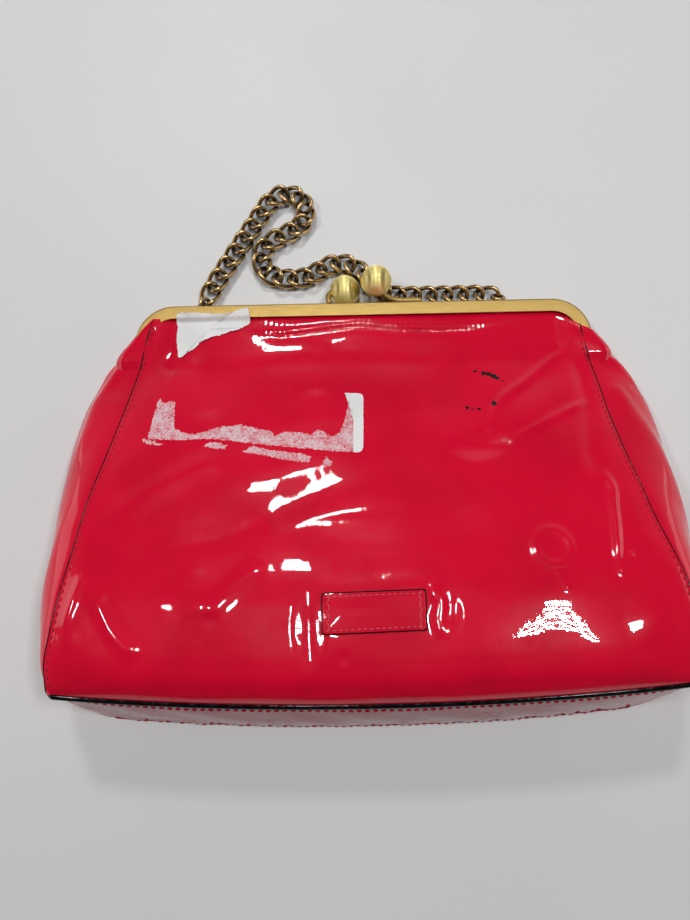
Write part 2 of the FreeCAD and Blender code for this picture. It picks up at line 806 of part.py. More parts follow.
def gusset(label, start, depth, mirror):
    wires = []
    radii = []
    for station in gusset_stations:
        wire, radius = gusset_section(station, start, depth, mirror)
        wires.append(wire)
        radii.append(round(radius, 1))
    if mirror > 0:
        print(label, "bulge radii", radii)
    return feature(label, Part.makeLoft(wires, True, False))


left_gusset = gusset("left_gusset", 0, leather, -1)
right_gusset = gusset("right_gusset", 0, leather, 1)
left_gusset_lining = gusset("left_gusset_lining", inner_layer, lining, -1)
right_gusset_lining = gusset("right_gusset_lining", inner_layer, lining, 1)

# Name patch: a blank leather rectangle sewn on the front panel.
patch_half = size("patch_length") / 2
patch_side = [(patch_half, size("patch_low")),
              (patch_half, size("patch_low") + size("patch_height"))]
name_patch = panel("name_patch", front_profile, -size("patch_thick") - 0.02, -0.02, patch_side,
                   size("patch_low") - 0.001)


# Paper cords wedge the leather edges in the two channels.
def channel_cord(label, level, radius, inset):
    centre = size("frame_half_width") - size("corner_radius")
    bend = size("corner_radius") - inset
    low = bend_start + 1.1
    top = size("frame_top") - inset
    corner = math.radians(45)
    across = centre + bend * math.cos(corner)
    along = low + (bend - 1.1) * math.sin(corner)
    right_start = Vector(centre + bend, low, level)
    left_end = Vector(-centre - bend, low, level)
    right_top = Vector(centre, top, level)
    left_top = Vector(-centre, top, level)
    right_turn = Part.Arc(right_start, Vector(across, along, level), right_top)
    left_turn = Part.Arc(left_top, Vector(-across, along, level), left_end)
    wire = Part.Wire([right_turn.toShape(), Part.LineSegment(right_top, left_top).toShape(),
                      left_turn.toShape()])
    heading = right_turn.tangent(right_turn.FirstParameter)[0]
    ring = Part.Circle(right_start, heading, radius)
    print(label, "curve radius", round(bend, 1))
    return feature(label, wire.makePipeShell([Part.Wire([ring.toShape()])], True, False))


rear_channel_cord = channel_cord("rear_channel_cord", leather + 3.2 + 1.2, 1.1, 4.0)
front_channel_cord = channel_cord("front_channel_cord", upper_top - leather - 1.0, 0.9, 4.0)

doc.recompute()

nodes = [
    rear_frame, front_frame, rivets, rear_lock_arm, rear_lock_ball, front_lock_arm,
    front_lock_ball, left_chain_lug, right_chain_lug, handle_chain, front_panel_upper,
    front_panel_lower, rear_panel, base_panel, left_gusset, right_gusset, base_board,
    front_lining_upper, front_lining_lower, rear_lining, base_lining, left_gusset_lining,
    right_gusset_lining, front_base_welt, rear_base_welt, name_patch, rear_channel_cord,
    front_channel_cord,
]
for item in doc.Objects:
    if "Invalid" in item.State or "Error" in item.State:
        raise RuntimeError(item.Label + " has state " + str(item.State))
low = Vector(1e9, 1e9, 1e9)
high = Vector(-1e9, -1e9, -1e9)
for item in nodes:
    if item.Shape.isNull() or not item.Shape.isValid():
        raise RuntimeError(item.Label + " has no valid shape")
    item.Shape.exportStep("parts/" + item.Label + ".step")
    box = item.Shape.BoundBox
    print(item.Label, len(item.Shape.Solids), "solids", round(item.Shape.Volume), "mm3",
          [round(v, 2) for v in (box.XMin, box.YMin, box.ZMin, box.XMax, box.YMax, box.ZMax)])
    if item is not handle_chain:
        low = Vector(min(low.x, box.XMin), min(low.y, box.YMin), min(low.z, box.ZMin))
        high = Vector(max(high.x, box.XMax), max(high.y, box.YMax), max(high.z, box.ZMax))
print("box without the chain", low, high)
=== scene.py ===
"""Looks of the kiss lock handbag that lies on its back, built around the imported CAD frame."""

import math

import bpy
import numpy as np
from mathutils import Matrix, Vector


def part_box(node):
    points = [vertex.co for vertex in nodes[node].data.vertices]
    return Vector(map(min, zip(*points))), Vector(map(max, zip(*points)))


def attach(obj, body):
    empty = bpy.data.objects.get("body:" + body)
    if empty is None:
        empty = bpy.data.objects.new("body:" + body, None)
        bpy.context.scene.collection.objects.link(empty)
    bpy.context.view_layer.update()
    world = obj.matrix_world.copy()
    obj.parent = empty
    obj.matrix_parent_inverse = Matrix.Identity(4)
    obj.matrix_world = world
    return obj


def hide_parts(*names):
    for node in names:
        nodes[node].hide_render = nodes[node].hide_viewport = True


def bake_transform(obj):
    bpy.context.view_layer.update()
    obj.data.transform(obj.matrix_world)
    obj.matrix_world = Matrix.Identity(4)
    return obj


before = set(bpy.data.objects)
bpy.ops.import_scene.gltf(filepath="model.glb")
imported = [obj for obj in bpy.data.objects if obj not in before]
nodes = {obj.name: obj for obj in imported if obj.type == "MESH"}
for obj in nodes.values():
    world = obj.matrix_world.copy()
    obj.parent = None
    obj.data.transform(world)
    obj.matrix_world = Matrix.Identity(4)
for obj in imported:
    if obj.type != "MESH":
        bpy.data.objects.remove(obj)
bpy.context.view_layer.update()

MM = 0.001
scene = bpy.context.scene
scene.view_settings.view_transform = "Standard"


# Camera: above the bag, tilted towards the frame.
CAMERA_PLACE = (-0.0127, -0.0453, 0.415)
CAMERA_TILT = 9.0
CAMERA_TURN = -1.2
lens = bpy.data.cameras.new("photo_view")
lens.lens = 27
lens.sensor_width = 36
lens.sensor_fit = "AUTO"
lens.dof.use_dof = False
camera = bpy.data.objects.new("photo_view", lens)
scene.collection.objects.link(camera)
camera.matrix_world = (
    Matrix.Translation(CAMERA_PLACE)
    @ Matrix.Rotation(math.radians(CAMERA_TILT), 4, "X")
    @ Matrix.Rotation(math.radians(CAMERA_TURN), 4, "Z")
)
scene.camera = camera


# Chain handle: the route's corners, in millimetres on the table.
CHAIN_LEVEL = 4.7
CHAIN_ROUTE = [
    (-98, 119.6), (-95, 128.5), (-61.5, 181.5), (-54.5, 193), (-41, 194), (-32, 184),
    (-35, 171), (-61.5, 159), (-65, 146), (-56.5, 135.5), (-31.5, 135.5), (-20, 146),
    (-6, 145.5), (16, 122.4), (38, 122.4), (70, 122.4), (80, 122.4), (85.1, 120.6),
]


def nurbs_points(name, corners):
    """Points along a smooth curve that has the corners as its control points."""
    curve = bpy.data.curves.new(name, "CURVE")
    curve.dimensions = "3D"
    spline = curve.splines.new("NURBS")
    spline.points.add(len(corners) - 1)
    for point, corner in zip(spline.points, corners):
        point.co = (*corner, 1)
    spline.order_u = 3
    spline.use_endpoint_u = True
    holder = bpy.data.objects.new(name, curve)
    mesh = bpy.data.meshes.new_from_object(holder)
    points = [tuple(vertex.co) for vertex in mesh.vertices]
    bpy.data.objects.remove(holder)
    bpy.data.meshes.remove(mesh)
    bpy.data.curves.remove(curve)
    return points


chain_path = nurbs_points("chain_route", [(x * MM, y * MM, CHAIN_LEVEL * MM) for x, y in CHAIN_ROUTE])


# Shader helpers.
def new_material(name, **settings):
    """A material, its tree, its shader with the given constants and the object-space place."""
    material = bpy.data.materials.new(name)
    material.use_nodes = True
    tree = material.node_tree
    shader = tree.nodes["Principled BSDF"]
    for socket, value in settings.items():
        shader.inputs[socket.replace("_", " ")].default_value = value
    return material, tree, shader, position(tree)


def node(tree, kind, links=None, **values):
    """A shader node with its properties or socket constants set and its inputs linked."""
    made = tree.nodes.new("ShaderNode" + kind)
    for key, value in values.items():
        if hasattr(made, key):
            setattr(made, key, value)
        else:
            made.inputs[key.replace("_", " ")].default_value = value
    for key, source in (links or {}).items():
        tree.links.new(source, made.inputs[key])
    return made


def position(tree, stretch=(1, 1, 1)):
    """Object-space place in metres, stretched per axis."""
    place = node(tree, "TexCoord").outputs["Object"]
    mapped = node(tree, "Mapping", {"Vector": place})
    mapped.inputs["Scale"].default_value = stretch
    return mapped.outputs["Vector"]


def noise(tree, place, scale, detail=3.0, roughness=0.5, distortion=0.0):
    made = node(tree, "TexNoise", {"Vector": place}, Scale=scale, Detail=detail,
                Roughness=roughness, Distortion=distortion)
    return made.outputs["Fac"]


def span(tree, value, low, high, start=0.0, end=1.0):
    """Maps the stretch from low to high smoothly onto start to end."""
    made = node(tree, "MapRange", {"Value": value}, interpolation_type="SMOOTHSTEP",
                From_Min=low, From_Max=high, To_Min=start, To_Max=end)
    return made.outputs["Result"]


def feed(tree, socket, value):
    """Links a socket to another one, or gives it a number or a colour."""
    if isinstance(value, bpy.types.NodeSocket):
        tree.links.new(value, socket)
    else:
        socket.default_value = (*value, 1) if isinstance(value, tuple) else value


def maths(tree, operation, one, two):
    made = node(tree, "Math", operation=operation)
    for socket, value in zip(made.inputs, (one, two)):
        feed(tree, socket, value)
    return made.outputs["Value"]


def blend_colours(tree, factor, one, two):
    made = node(tree, "Mix", {"Factor": factor}, data_type="RGBA")
    for socket, value in zip(made.inputs[6:8], (one, two)):
        feed(tree, socket, value)
    return made.outputs[2]


def paint(tree, shader, colour, rough):
    """Links the base colour and the roughness."""
    tree.links.new(colour, shader.inputs["Base Color"])
    tree.links.new(rough, shader.inputs["Roughness"])


def bump(tree, shader, layers):
    """Chains bump layers of (height, depth in metres) into the shader's normal."""
    normal = None
    for height, depth in layers:
        made = node(tree, "Bump", {"Height": height}, Distance=depth)
        if normal is not None:
            tree.links.new(normal, made.inputs["Normal"])
        normal = made.outputs["Normal"]
    tree.links.new(normal, shader.inputs["Normal"])
    return normal


RED = (0.71, 0.0015, 0.030)
DEEP_RED = (0.61, 0.0012, 0.025)
BLACK = (0.012, 0.010, 0.011)


def patent_leather(name, stains=False, gloss=1.0, shade_tone=1.0):
    """Glossy red film over smooth leather, with smudges and a slow ripple in the film; a tone below 1
    paints the red darker as painted shade.
    """
    material, tree, shader, place = new_material(
        name, Roughness=0.32, IOR=1.45, Specular_IOR_Level=0.06, Coat_Weight=gloss,
        Coat_Roughness=0.02, Coat_IOR=1.5)
    mottle = span(tree, noise(tree, place, 22, 4, 0.6), 0.35, 0.72)
    colour = blend_colours(tree, mottle, tuple(shade_tone * part for part in RED),
                           tuple(shade_tone * part for part in DEEP_RED))
    smudge = span(tree, noise(tree, place, 60, 5, 0.65, 0.4), 0.45, 0.8)
    rough = span(tree, smudge, 0, 1, 0.28, 0.5)
    if stains:
        colour, rough = add_stains(tree, place, colour, rough)
    paint(tree, shader, colour, rough)
    ripple = noise(tree, place, 130, 2, 0.5)
    pores = noise(tree, place, 900, 2, 0.5)
    normal = bump(tree, shader, [(ripple, 0.00005), (pores, 0.000005)])
    tree.links.new(normal, shader.inputs["Coat Normal"])
    return material


def add_stains(tree, place, colour, rough):
    """Sticker residue and dark scuffs where the panel's masks say."""
    glue = node(tree, "Attribute", attribute_name="residue").outputs["Fac"]
    fray = noise(tree, place, 700, 4, 0.7)
    lace = noise(tree, place, 1050, 4, 0.75, 0.8)
    edge = maths(tree, "ADD", glue, maths(tree, "MULTIPLY", maths(tree, "SUBTRACT", fray, 0.5), 4.0))
    area = span(tree, edge, 0.0, 0.35)
    patchy = maths(tree, "MULTIPLY", noise(tree, place, 160, 3), 0.35)
    threads = span(tree, maths(tree, "ADD", lace, patchy), 0.58, 0.74, 0.2, 0.9)
    outline = span(tree, glue, 0.15, 0.6, 0.75, 0.0)
    cover = maths(tree, "MULTIPLY", area, maths(tree, "MAXIMUM", threads, outline))
    colour = blend_colours(tree, cover, colour, (0.80, 0.67, 0.71))
    rough = maths(tree, "MAXIMUM", rough, maths(tree, "MULTIPLY", cover, 0.8))
    scuff = node(tree, "Attribute", attribute_name="scuff").outputs["Fac"]
    grit = noise(tree, place, 520, 4, 0.7, 0.8)
    mark = span(tree, maths(tree, "ADD", scuff, grit), 1.00, 1.12)
    colour = blend_colours(tree, mark, colour, BLACK)
    rough = maths(tree, "MAXIMUM", rough, maths(tree, "MULTIPLY", mark, 0.7))
    return colour, rough


def black_edge(name):
    """Edge paint: thick glossy black with soft unevenness and a few dull spots."""
    material, tree, shader, place = new_material(name, Roughness=0.2, IOR=1.3)
    dull = span(tree, noise(tree, place, 240, 4, 0.6), 0.4, 0.75)
    colour = blend_colours(tree, dull, (0.003, 0.003, 0.003), (0.010, 0.008, 0.009))
    paint(tree, shader, colour, span(tree, dull, 0, 1, 0.10, 0.30))
    bump(tree, shader, [(noise(tree, place, 160, 2), 0.0002)])
    return material


def thread(name, colour):
    """Twisted sewing thread."""
    material, tree, shader, place = new_material(name, Roughness=0.5, IOR=1.2)
    ply = node(tree, "TexWave", {"Vector": place}, Scale=900.0, Distortion=2.0,
               bands_direction="DIAGONAL").outputs["Fac"]
    shade = tuple(0.6 * part for part in colour)
    paint(tree, shader, blend_colours(tree, ply, shade, colour), span(tree, ply, 0, 1, 0.6, 0.4))
    bump(tree, shader, [(ply, 0.0001)])
    return material


def gold_metal(name, bright, dull):
    """Satin gold plate with fine brushing, edge wear and small tarnish freckles."""
    material, tree, shader, place = new_material(name, Metallic=1.0, Roughness=0.5)
    worn = span(tree, node(tree, "NewGeometry").outputs["Pointiness"], 0.515, 0.56)
    cloud = span(tree, noise(tree, place, 35, 4, 0.6), 0.35, 0.7)
    colour = blend_colours(tree, cloud, bright, dull)
    colour = blend_colours(tree, worn, colour, tuple(min(1.1 * part, 1.0) for part in bright))
    freckle = span(tree, noise(tree, place, 520, 3, 0.6), 0.70, 0.76)
    colour = blend_colours(tree, freckle, colour, (0.16, 0.09, 0.035))
    brushing = noise(tree, position(tree, (0.06, 1, 1)), 1400, 3, 0.6)
    rough = maths(tree, "ADD", span(tree, brushing, 0.3, 0.7, 0.44, 0.58),
                  maths(tree, "MULTIPLY", freckle, 0.3))
    paint(tree, shader, colour, rough)
    bump(tree, shader, [(brushing, 0.00002), (cloud, 0.00005)])
    return material


def antique_brass(name):
    """Old brass: bright on worn faces, near black in the recesses."""
    material, tree, shader, place = new_material(name, Metallic=1.0, Roughness=0.34)
    recess = node(tree, "AmbientOcclusion", samples=8, Distance=0.006).outputs["AO"]
    cloud = noise(tree, place, 260, 4, 0.65)
    bare = span(tree, maths(tree, "ADD", recess, maths(tree, "MULTIPLY", cloud, 0.6)), 0.86, 1.16)
    colour = blend_colours(tree, bare, (0.022, 0.013, 0.007), (0.60, 0.40, 0.18))
    paint(tree, shader, colour, span(tree, bare, 0, 1, 0.55, 0.24))
    bump(tree, shader, [(cloud, 0.00015)])
    return material


def lining_cloth(name):
    """Plain woven lining, warm grey."""
    material, tree, shader, place = new_material(name, Roughness=0.85, Sheen_Weight=0.25)
    yarns = [node(tree, "TexWave", {"Vector": place}, Scale=620.0, Distortion=0.6,
                  bands_direction=way).outputs["Fac"] for way in "XY"]
    weave = maths(tree, "MAXIMUM", *yarns)
    wear = span(tree, noise(tree, place, 30, 4), 0.35, 0.7)
    colour = blend_colours(tree, wear, (0.20, 0.165, 0.14), (0.15, 0.12, 0.105))
    colour = blend_colours(tree, span(tree, weave, 0, 1, 0.35, 0.0), colour, (0.06, 0.05, 0.045))
    paint(tree, shader, colour, span(tree, wear, 0, 1, 0.8, 0.95))
    bump(tree, shader, [(weave, 0.0002), (noise(tree, place, 90, 3), 0.0006)])
    return material


def fibre_material(name, colour, shade, scale):
    """Paper or card: pressed fibres and faint blotches."""
    material, tree, shader, place = new_material(name, Roughness=0.75)
    fibres = noise(tree, place, scale, 6, 0.75, 1.2)
    blotch = span(tree, noise(tree, place, scale / 12, 3), 0.4, 0.75)
    tint = blend_colours(tree, maths(tree, "MULTIPLY", blotch, fibres), colour, shade)
    paint(tree, shader, tint, span(tree, fibres, 0.2, 0.8, 0.6, 0.9))
    bump(tree, shader, [(fibres, 0.00012)])
    return material


panel_leather = patent_leather("patent_leather_panel", stains=True)
side_leather = patent_leather("patent_leather_sides")
# The base is the panel's red painted darker (tone 0.55) as painted shade for its place under the
# overhang, with a less glossy film.
shaded_base_leather = patent_leather("patent_leather_base_painted_shade", gloss=0.6, shade_tone=0.55)
patch_leather = patent_leather("patch_leather_red")
edge_paint = black_edge("black_edge_paint")
red_thread = thread("red_thread", (0.58, 0.02, 0.045))
pink_thread = thread("pink_thread", (0.85, 0.12, 0.18))
gold = gold_metal("satin_gold", (0.46, 0.315, 0.105), (0.42, 0.28, 0.09))
ball_gold = gold_metal("brushed_gold_balls", (1.0, 0.87, 0.36), (0.97, 0.80, 0.31))
ball_shader = ball_gold.node_tree.nodes["Principled BSDF"]
ball_shader.inputs["Anisotropic"].default_value = 0.85
ball_tangent = node(ball_gold.node_tree, "Tangent", direction_type="RADIAL", axis="X")
ball_gold.node_tree.links.new(ball_tangent.outputs["Tangent"], ball_shader.inputs["Tangent"])
brass = antique_brass("antique_brass")
cloth = lining_cloth("lining_weave")
board = fibre_material("grey_board", (0.30, 0.27, 0.23), (0.20, 0.17, 0.14), 500)
paper = fibre_material("white_paper", (0.82, 0.82, 0.81), (0.66, 0.66, 0.66), 420)
paper_cord = fibre_material("twisted_paper_cord", (0.45, 0.36, 0.25), (0.3, 0.23, 0.15), 900)


# Mesh helpers. Tables are in millimetres and meshes in metres.
def smooth_line(points):
    """A function that runs smoothly through (place, value) points, flat outside them."""
    places, values = np.array(sorted(points), float).T
    slopes = np.gradient(values, places)

    def value(at):
        at = np.clip(at, places[0], places[-1])
        left = np.clip(np.searchsorted(places, at, side="right") - 1, 0, len(places) - 2)
        gap = places[left + 1] - places[left]
        share = (at - places[left]) / gap
        rest = 1 - share
        return (values[left] * (1 + 2 * share) * rest ** 2
                + values[left + 1] * (3 - 2 * share) * share ** 2
                + gap * share * rest * (slopes[left] * rest - slopes[left + 1] * share))

    return value


def smooth_columns(table, rows):
    """One column of values per part of the table, spread smoothly over the rows."""
    table = np.array(table, float)
    steps = np.arange(len(table))
    return [smooth_line(zip(steps, table[:, part]))(rows)[:, None] for part in range(table.shape[1])]


def ramp(value, start, end):
    """Rises from 0 at start to 1 at end."""
    return np.clip((value - start) / (end - start), 0, 1)


def smooth_step(share):
    """Eases a share from 0 to 1."""
    return share * share * (3 - 2 * share)


def run_along(path):
    """Distance along a path to each of its points."""
    return np.concatenate([[0], np.cumsum(np.linalg.norm(np.diff(path, axis=0), axis=1))])


def headings(path):
    """Unit directions along a path."""
    heading = np.gradient(path, axis=0)
    return heading / np.linalg.norm(heading, axis=1, keepdims=True)


def smooth_path(points, count):
    """Count points spread evenly along a smooth line through the given points."""
    points = np.array(points, float)
    steps = np.arange(len(points))
    lines = [smooth_line(zip(steps, points[:, axis])) for axis in range(points.shape[1])]
    fine = np.linspace(0, len(points) - 1, 40 * len(points))
    dense = np.stack([line(fine) for line in lines], 1)
    run = run_along(dense)
    even = np.linspace(0, run[-1], count)
    return np.stack([np.interp(even, run, dense[:, axis]) for axis in range(points.shape[1])], 1)


def shares(rows, columns, low=0.0, high=1.0):
    """Row shares from low to high and column places from -1 to 1."""
    return np.linspace(low, high, rows)[:, None], np.linspace(-1, 1, columns)[None, :]


def grid_normals(grid):
    """Unit normals of a grid of points, shape rows x columns x 3."""
    across = np.gradient(grid, axis=1)
    along = np.gradient(grid, axis=0)
    normals = np.cross(across, along)
    return normals / np.maximum(np.linalg.norm(normals, axis=2, keepdims=True), 1e-12)


class Builder:
    """Collects vertices and faces of one piece."""

    def __init__(self):
        self.points = []
        self.faces = []
        self.slots = []
        self.count = 0

    def add(self, points, faces, slot=0):
        self.points.append(np.asarray(points, float).reshape(-1, 3))
        self.faces.extend([tuple(index + self.count for index in face) for face in faces])
        self.slots.extend([slot] * len(faces))
        self.count += len(self.points[-1])

    def add_grid(self, grid, slot=0, flip=False, closed=False):
        rows, columns = grid.shape[:2]
        faces = []
        for row in range(rows - 1):
            for column in range(columns - (0 if closed else 1)):
                following = (column + 1) % columns
                one = row * columns + column
                two = row * columns + following
                face = (one, two, two + columns, one + columns)
                faces.append(face[::-1] if flip else face)
        self.add(grid, faces, slot)

    def make(self, name, materials):
        mesh = bpy.data.meshes.new(name)
        mesh.from_pydata((np.concatenate(self.points) * MM).tolist(), [], self.faces)
        for material in materials:
            mesh.materials.append(material)
        mesh.polygons.foreach_set("material_index", self.slots)
        mesh.polygons.foreach_set("use_smooth", [True] * len(self.faces))
        mesh.update()
        piece = bpy.data.objects.new(name, mesh)
        scene.collection.objects.link(piece)
        return piece


def shell(name, grid, thickness, materials, rim=0):
    """A layer of the given thickness under a grid, closed by a rim."""
    under = grid - grid_normals(grid) * thickness
    builder = Builder()
    builder.add_grid(grid)
    builder.add_grid(under, flip=True)
    loops = [np.concatenate([face[0], face[1:, -1], face[-1, -2::-1], face[-2::-1, 0]])
             for face in (grid, under)]
    builder.add_grid(np.array(loops), slot=rim)
    return builder.make(name, materials)


def add_tube(builder, path, size, sides, flat=1.0, up=(0, 0, 1)):
    """A tube with closed ends: size is its radius at each point, times flat along up."""
    heading = headings(path)
    side = np.cross(heading, np.broadcast_to(np.asarray(up, float), path.shape))
    side /= np.maximum(np.linalg.norm(side, axis=1, keepdims=True), 1e-9)
    rise = np.cross(side, heading)
    turns = np.linspace(0, 2 * math.pi, sides, endpoint=False)[None, :, None]
    rings = (path[:, None, :] + side[:, None, :] * (np.cos(turns) * size[:, None, None])
             + rise[:, None, :] * (np.sin(turns) * (size * flat)[:, None, None]))
    builder.add_grid(rings, closed=True)
    for row, order in ((0, 1), (-1, -1)):
        builder.add(rings[row], [tuple(range(sides))[::order]])


def bead(name, path, radius, material):
    """A rounded bead with tapered ends along a path."""
    ends = np.minimum(np.arange(len(path)), np.arange(len(path))[::-1])
    size = radius * np.clip(0.35 + ends * 0.33, 0, 1)
    builder = Builder()
    add_tube(builder, path, size, 12)
    return builder.make(name, [material])


STITCH_WANDER = 0.048
THREAD_FLAT = 0.8


def stitches(name, path, pitch, material, width, length=0.62, normals=None):
    """A row of short thread stitches along a path; length is a share of the pitch."""
    run = run_along(path)
    count = max(int(run[-1] / pitch), 1)
    chance = np.random.default_rng(len(path))
    builder = Builder()
    for number in range(count):
        middle = (number + 0.5) * run[-1] / count
        half = pitch * length / 2
        places = np.linspace(middle - half, middle + half, 6)
        dash = np.stack([np.interp(places, run, path[:, axis]) for axis in range(3)], 1)
        dash += chance.normal(0, STITCH_WANDER, 3)
        share = np.linspace(-1, 1, 6)
        size = width * np.sqrt(np.maximum(1 - share ** 4, 0.12))
        up = (0, 0, 1)
        if normals is not None:
            up = normals[min(int(np.searchsorted(run, middle)), len(normals) - 1)]
        dash += np.asarray(up)[None, :] * (0.18 * (1 - share[:, None] ** 2) - 0.1)
        add_tube(builder, dash, size, 6, THREAD_FLAT, up)
    return builder.make(name, [material])


# Front panel: a padded sheet between the frame, the side seams and the lower edge.
LEATHER = 1.3
LINING = 0.5
EDGE_SINK = 1.2  # from the outer face of the panel to the edges that meet it
TOP_EDGE = 110.5
LOW_EDGE = -106.5
left_seam = smooth_line([
    (-108, 160.6), (-101, 161.0), (-90, 161.5), (-76, 159.6), (-58, 156.8), (-40, 153.9),
    (-6, 149.3), (19, 144.0), (47, 138.6), (67, 134.9), (80, 132.6), (88, 131.2), (97, 129.0),
    (106.2, 126.6)])
right_seam = smooth_line([
    (-108, 160.6), (-101, 161.0), (-90, 161.2), (-76, 159.6), (-52, 156.0), (-37, 152.0),
    (-24, 148.4), (-2, 144.2), (21, 140.0), (39, 137.6), (60, 136.0), (77, 133.8), (88, 131.8),
    (100, 129.4), (106.2, 126.6)])
SEAMS = {-1: left_seam, 1: right_seam}
CHANNEL_SIDE = 133.0
CORNER = (114.1, 91.0)
middle_rise = smooth_line([
    (-107, 66.6), (-105.4, 69.2), (-102.5, 72.3), (-98, 75.0), (-92.5, 76.6), (-86, 77.0),
    (-78, 76.4), (-68, 75.1), (-58, 73.5), (-50, 71.4), (-36, 66.4), (-23, 61.0), (-6, 54.2),
    (26, 41.6), (51, 30.4), (68, 23.0), (77, 19.2), (83, 17.5), (89, 16.5), (97, 15.6), (106, 14.6),
    (111, 14.2)])
seam_rise = smooth_line([
    (-107, 64.6), (-103, 66.4), (-97, 67.6), (-76, 67.6), (-52.5, 64.4), (-23.5, 55.6), (-6.5, 49.8),
    (25.5, 37.3), (50.5, 26.8), (75, 17.6), (86, 14.6), (94, 14.3), (111, 14.2)])


def channel_half_width(y):
    """Half width inside the frame's channel, with its rounded corner."""
    corner_x, corner_y = CORNER
    radius = CHANNEL_SIDE - corner_x
    return corner_x + np.sqrt(np.maximum(radius ** 2 - np.clip(y - corner_y, 0, radius) ** 2, 0))


def half_width(y, seam):
    """Half width of the panel at y, for one side."""
    y = np.asarray(y, float)
    above = ramp(y, 86, 90)
    return seam(y) * (1 - above) + channel_half_width(y) * above


BASE_REACH = 160.0


def low_edge(x):
    """The lower edge bows down in the middle."""
    return -110.2 + 7.3 * (np.abs(x) / BASE_REACH) ** 2


def bowed(x, level):
    """A level of the panel, moved with the bow of the lower edge."""
    return level + (low_edge(x) - LOW_EDGE) * (TOP_EDGE - level) / (TOP_EDGE - LOW_EDGE)


# Folds of the film: (points, height, width on the left of the run, width on the right).
FOLDS = [
    ([(-72, 103), (-46, 101), (-20, 103), (0, 104), (22, 102), (61, 101), (88, 104), (116, 102)],
     0.7, 3.5, 4.5),
    ([(-78, 99), (-60, 96), (-46, 95), (-23, 97.5), (-2, 99.5), (22, 96.7), (61, 96), (90, 99)],
     -0.9, 1.6, 4.5),
    ([(-140, -22), (-120, -7), (-96, 8.5), (-76, 16)], 1.3, 8, 7),
    ([(-128, -38), (-108, -33), (-82, -29), (-67, -24), (-48, -18)], -1.1, 8, 7),
    ([(-50, -25), (-36, -19.5), (-21, -15), (-5, -12.5), (22, -12), (57, -3), (79, 4), (108, 12)],
     0.6, 11, 9),
    ([(-52, -31), (-36, -25), (-21, -21), (7, -20), (36, -18), (64, -11)], -0.35, 3, 6),
    ([(-42, -42), (-33, -33), (-11, -31), (16, -32), (35, -30), (57, -28), (70, -36), (82, -50)],
     -0.5, 7, 8),
    ([(-84, -68), (-70, -54), (-52, -40)], 1.0, 5, 5),
    ([(-100, -66), (-94, -54), (-86, -40)], 0.4, 5, 6),
    ([(-144, -44), (-149, -58), (-153, -72)], 1.1, 2.5, 3),
    ([(-138, -52), (-131, -66), (-124, -76), (-112, -86)], 1.3, 4, 4),
    ([(26, -52), (32, -62), (30.5, -70), (33, -80)], 0.8, 3, 3),
    ([(125, 6), (128.5, -5), (127, -15), (125, -30), (121, -51)], 1.5, 1.8, 2.6),
    ([(121, -51), (127, -43), (131.5, -39)], 0.9, 1.8, 2.2),
    ([(67, 22), (71, 38), (78, 50), (93, 61), (112, 76), (127, 84)], 0.9, 2.4, 3),
    ([(74, 20), (90, 29), (109, 39), (121, 44.5), (131, 48)], 0.9, 2.2, 3),
    ([(-25, 92), (-28, 74), (-27, 52)], 0.7, 8, 8),
    ([(-102, 84), (-93, 62), (-90, 38)], -0.8, 8, 7),
    ([(126, 84), (127, 50), (122, 20), (120, -2)], -1.1, 5, 5),
    ([(-128, 84), (-121, 78), (-112, 70)], -0.6, 3, 3),
    ([(91, -47), (93.5, -54), (96, -58)], 0.6, 1.8, 1.8),
    ([(-150, -98), (-80, -97), (0, -99), (80, -97), (150, -97)], 0.5, 6, 3),
]

# Hills and hollows: (x, y, long radius, short radius, turn in degrees, height).
MOUNDS = [
    (-49, 10, 75, 26, 12, 2.0),
    (-84, -70, 12, 9, 20, -0.6),
    (-150, -77, 9, 8, 0, 0.5),
    (-31.5, -73, 24, 9.5, 92, -1.7),
    (-15.5, -87, 5, 5, 0, -0.4),
    (38, -66, 12, 6, 90, -0.7),
    (61, 20, 20, 10, 5, -2.1),
    (97, 44, 38, 13, 38, 1.2),
    (136, -73, 17, 17, 0, 1.4),
    (-10, 62, 60, 26, 0, 1.6),
    (-112, 50, 26, 30, 0, 1.2),
    (20, -52, 50, 14, 0, 0.9),
]

# Pressed rings: (x, y, radius, width, height).
RINGS = [(91, -36, 9.0, 2.3, 0.8)]


FOLD_POINTS = 60
FOLD_REACH = 3.2  # widths beyond which a fold is flat


def fold_height(x, y, points, height, left, right):
    """A long fold, highest in its middle, each side with its own width."""
    line = smooth_path(points, FOLD_POINTS)
    heading = headings(line)
    reach = FOLD_REACH * max(left, right)
    low, high = line.min(0) - reach, line.max(0) + reach
    inside = (x > low[0]) & (x < high[0]) & (y > low[1]) & (y < high[1])
    total = np.zeros_like(x)
    gap_x = x[inside][:, None] - line[None, :, 0]
    gap_y = y[inside][:, None] - line[None, :, 1]
    distance = np.hypot(gap_x, gap_y)
    nearest = distance.argmin(1)
    picked = (np.arange(len(nearest)), nearest)
    turn = heading[nearest, 0] * gap_y[picked] - heading[nearest, 1] * gap_x[picked]
    width = np.where(turn > 0, left, right)
    share = nearest / (len(line) - 1)
    taper = smooth_step(np.clip(np.minimum(share, 1 - share) * 5, 0.0, 1))
    total[inside] = height * taper * np.exp(-(distance[picked] / width) ** 2)
    return total


def mound_height(x, y, centre_x, centre_y, long, short, turn, height):
    cosine, sine = math.cos(math.radians(turn)), math.sin(math.radians(turn))
    along = ((x - centre_x) * cosine + (y - centre_y) * sine) / long
    across = ((y - centre_y) * cosine - (x - centre_x) * sine) / short
    return height * np.maximum(1 - along ** 2 - across ** 2, 0) ** 2


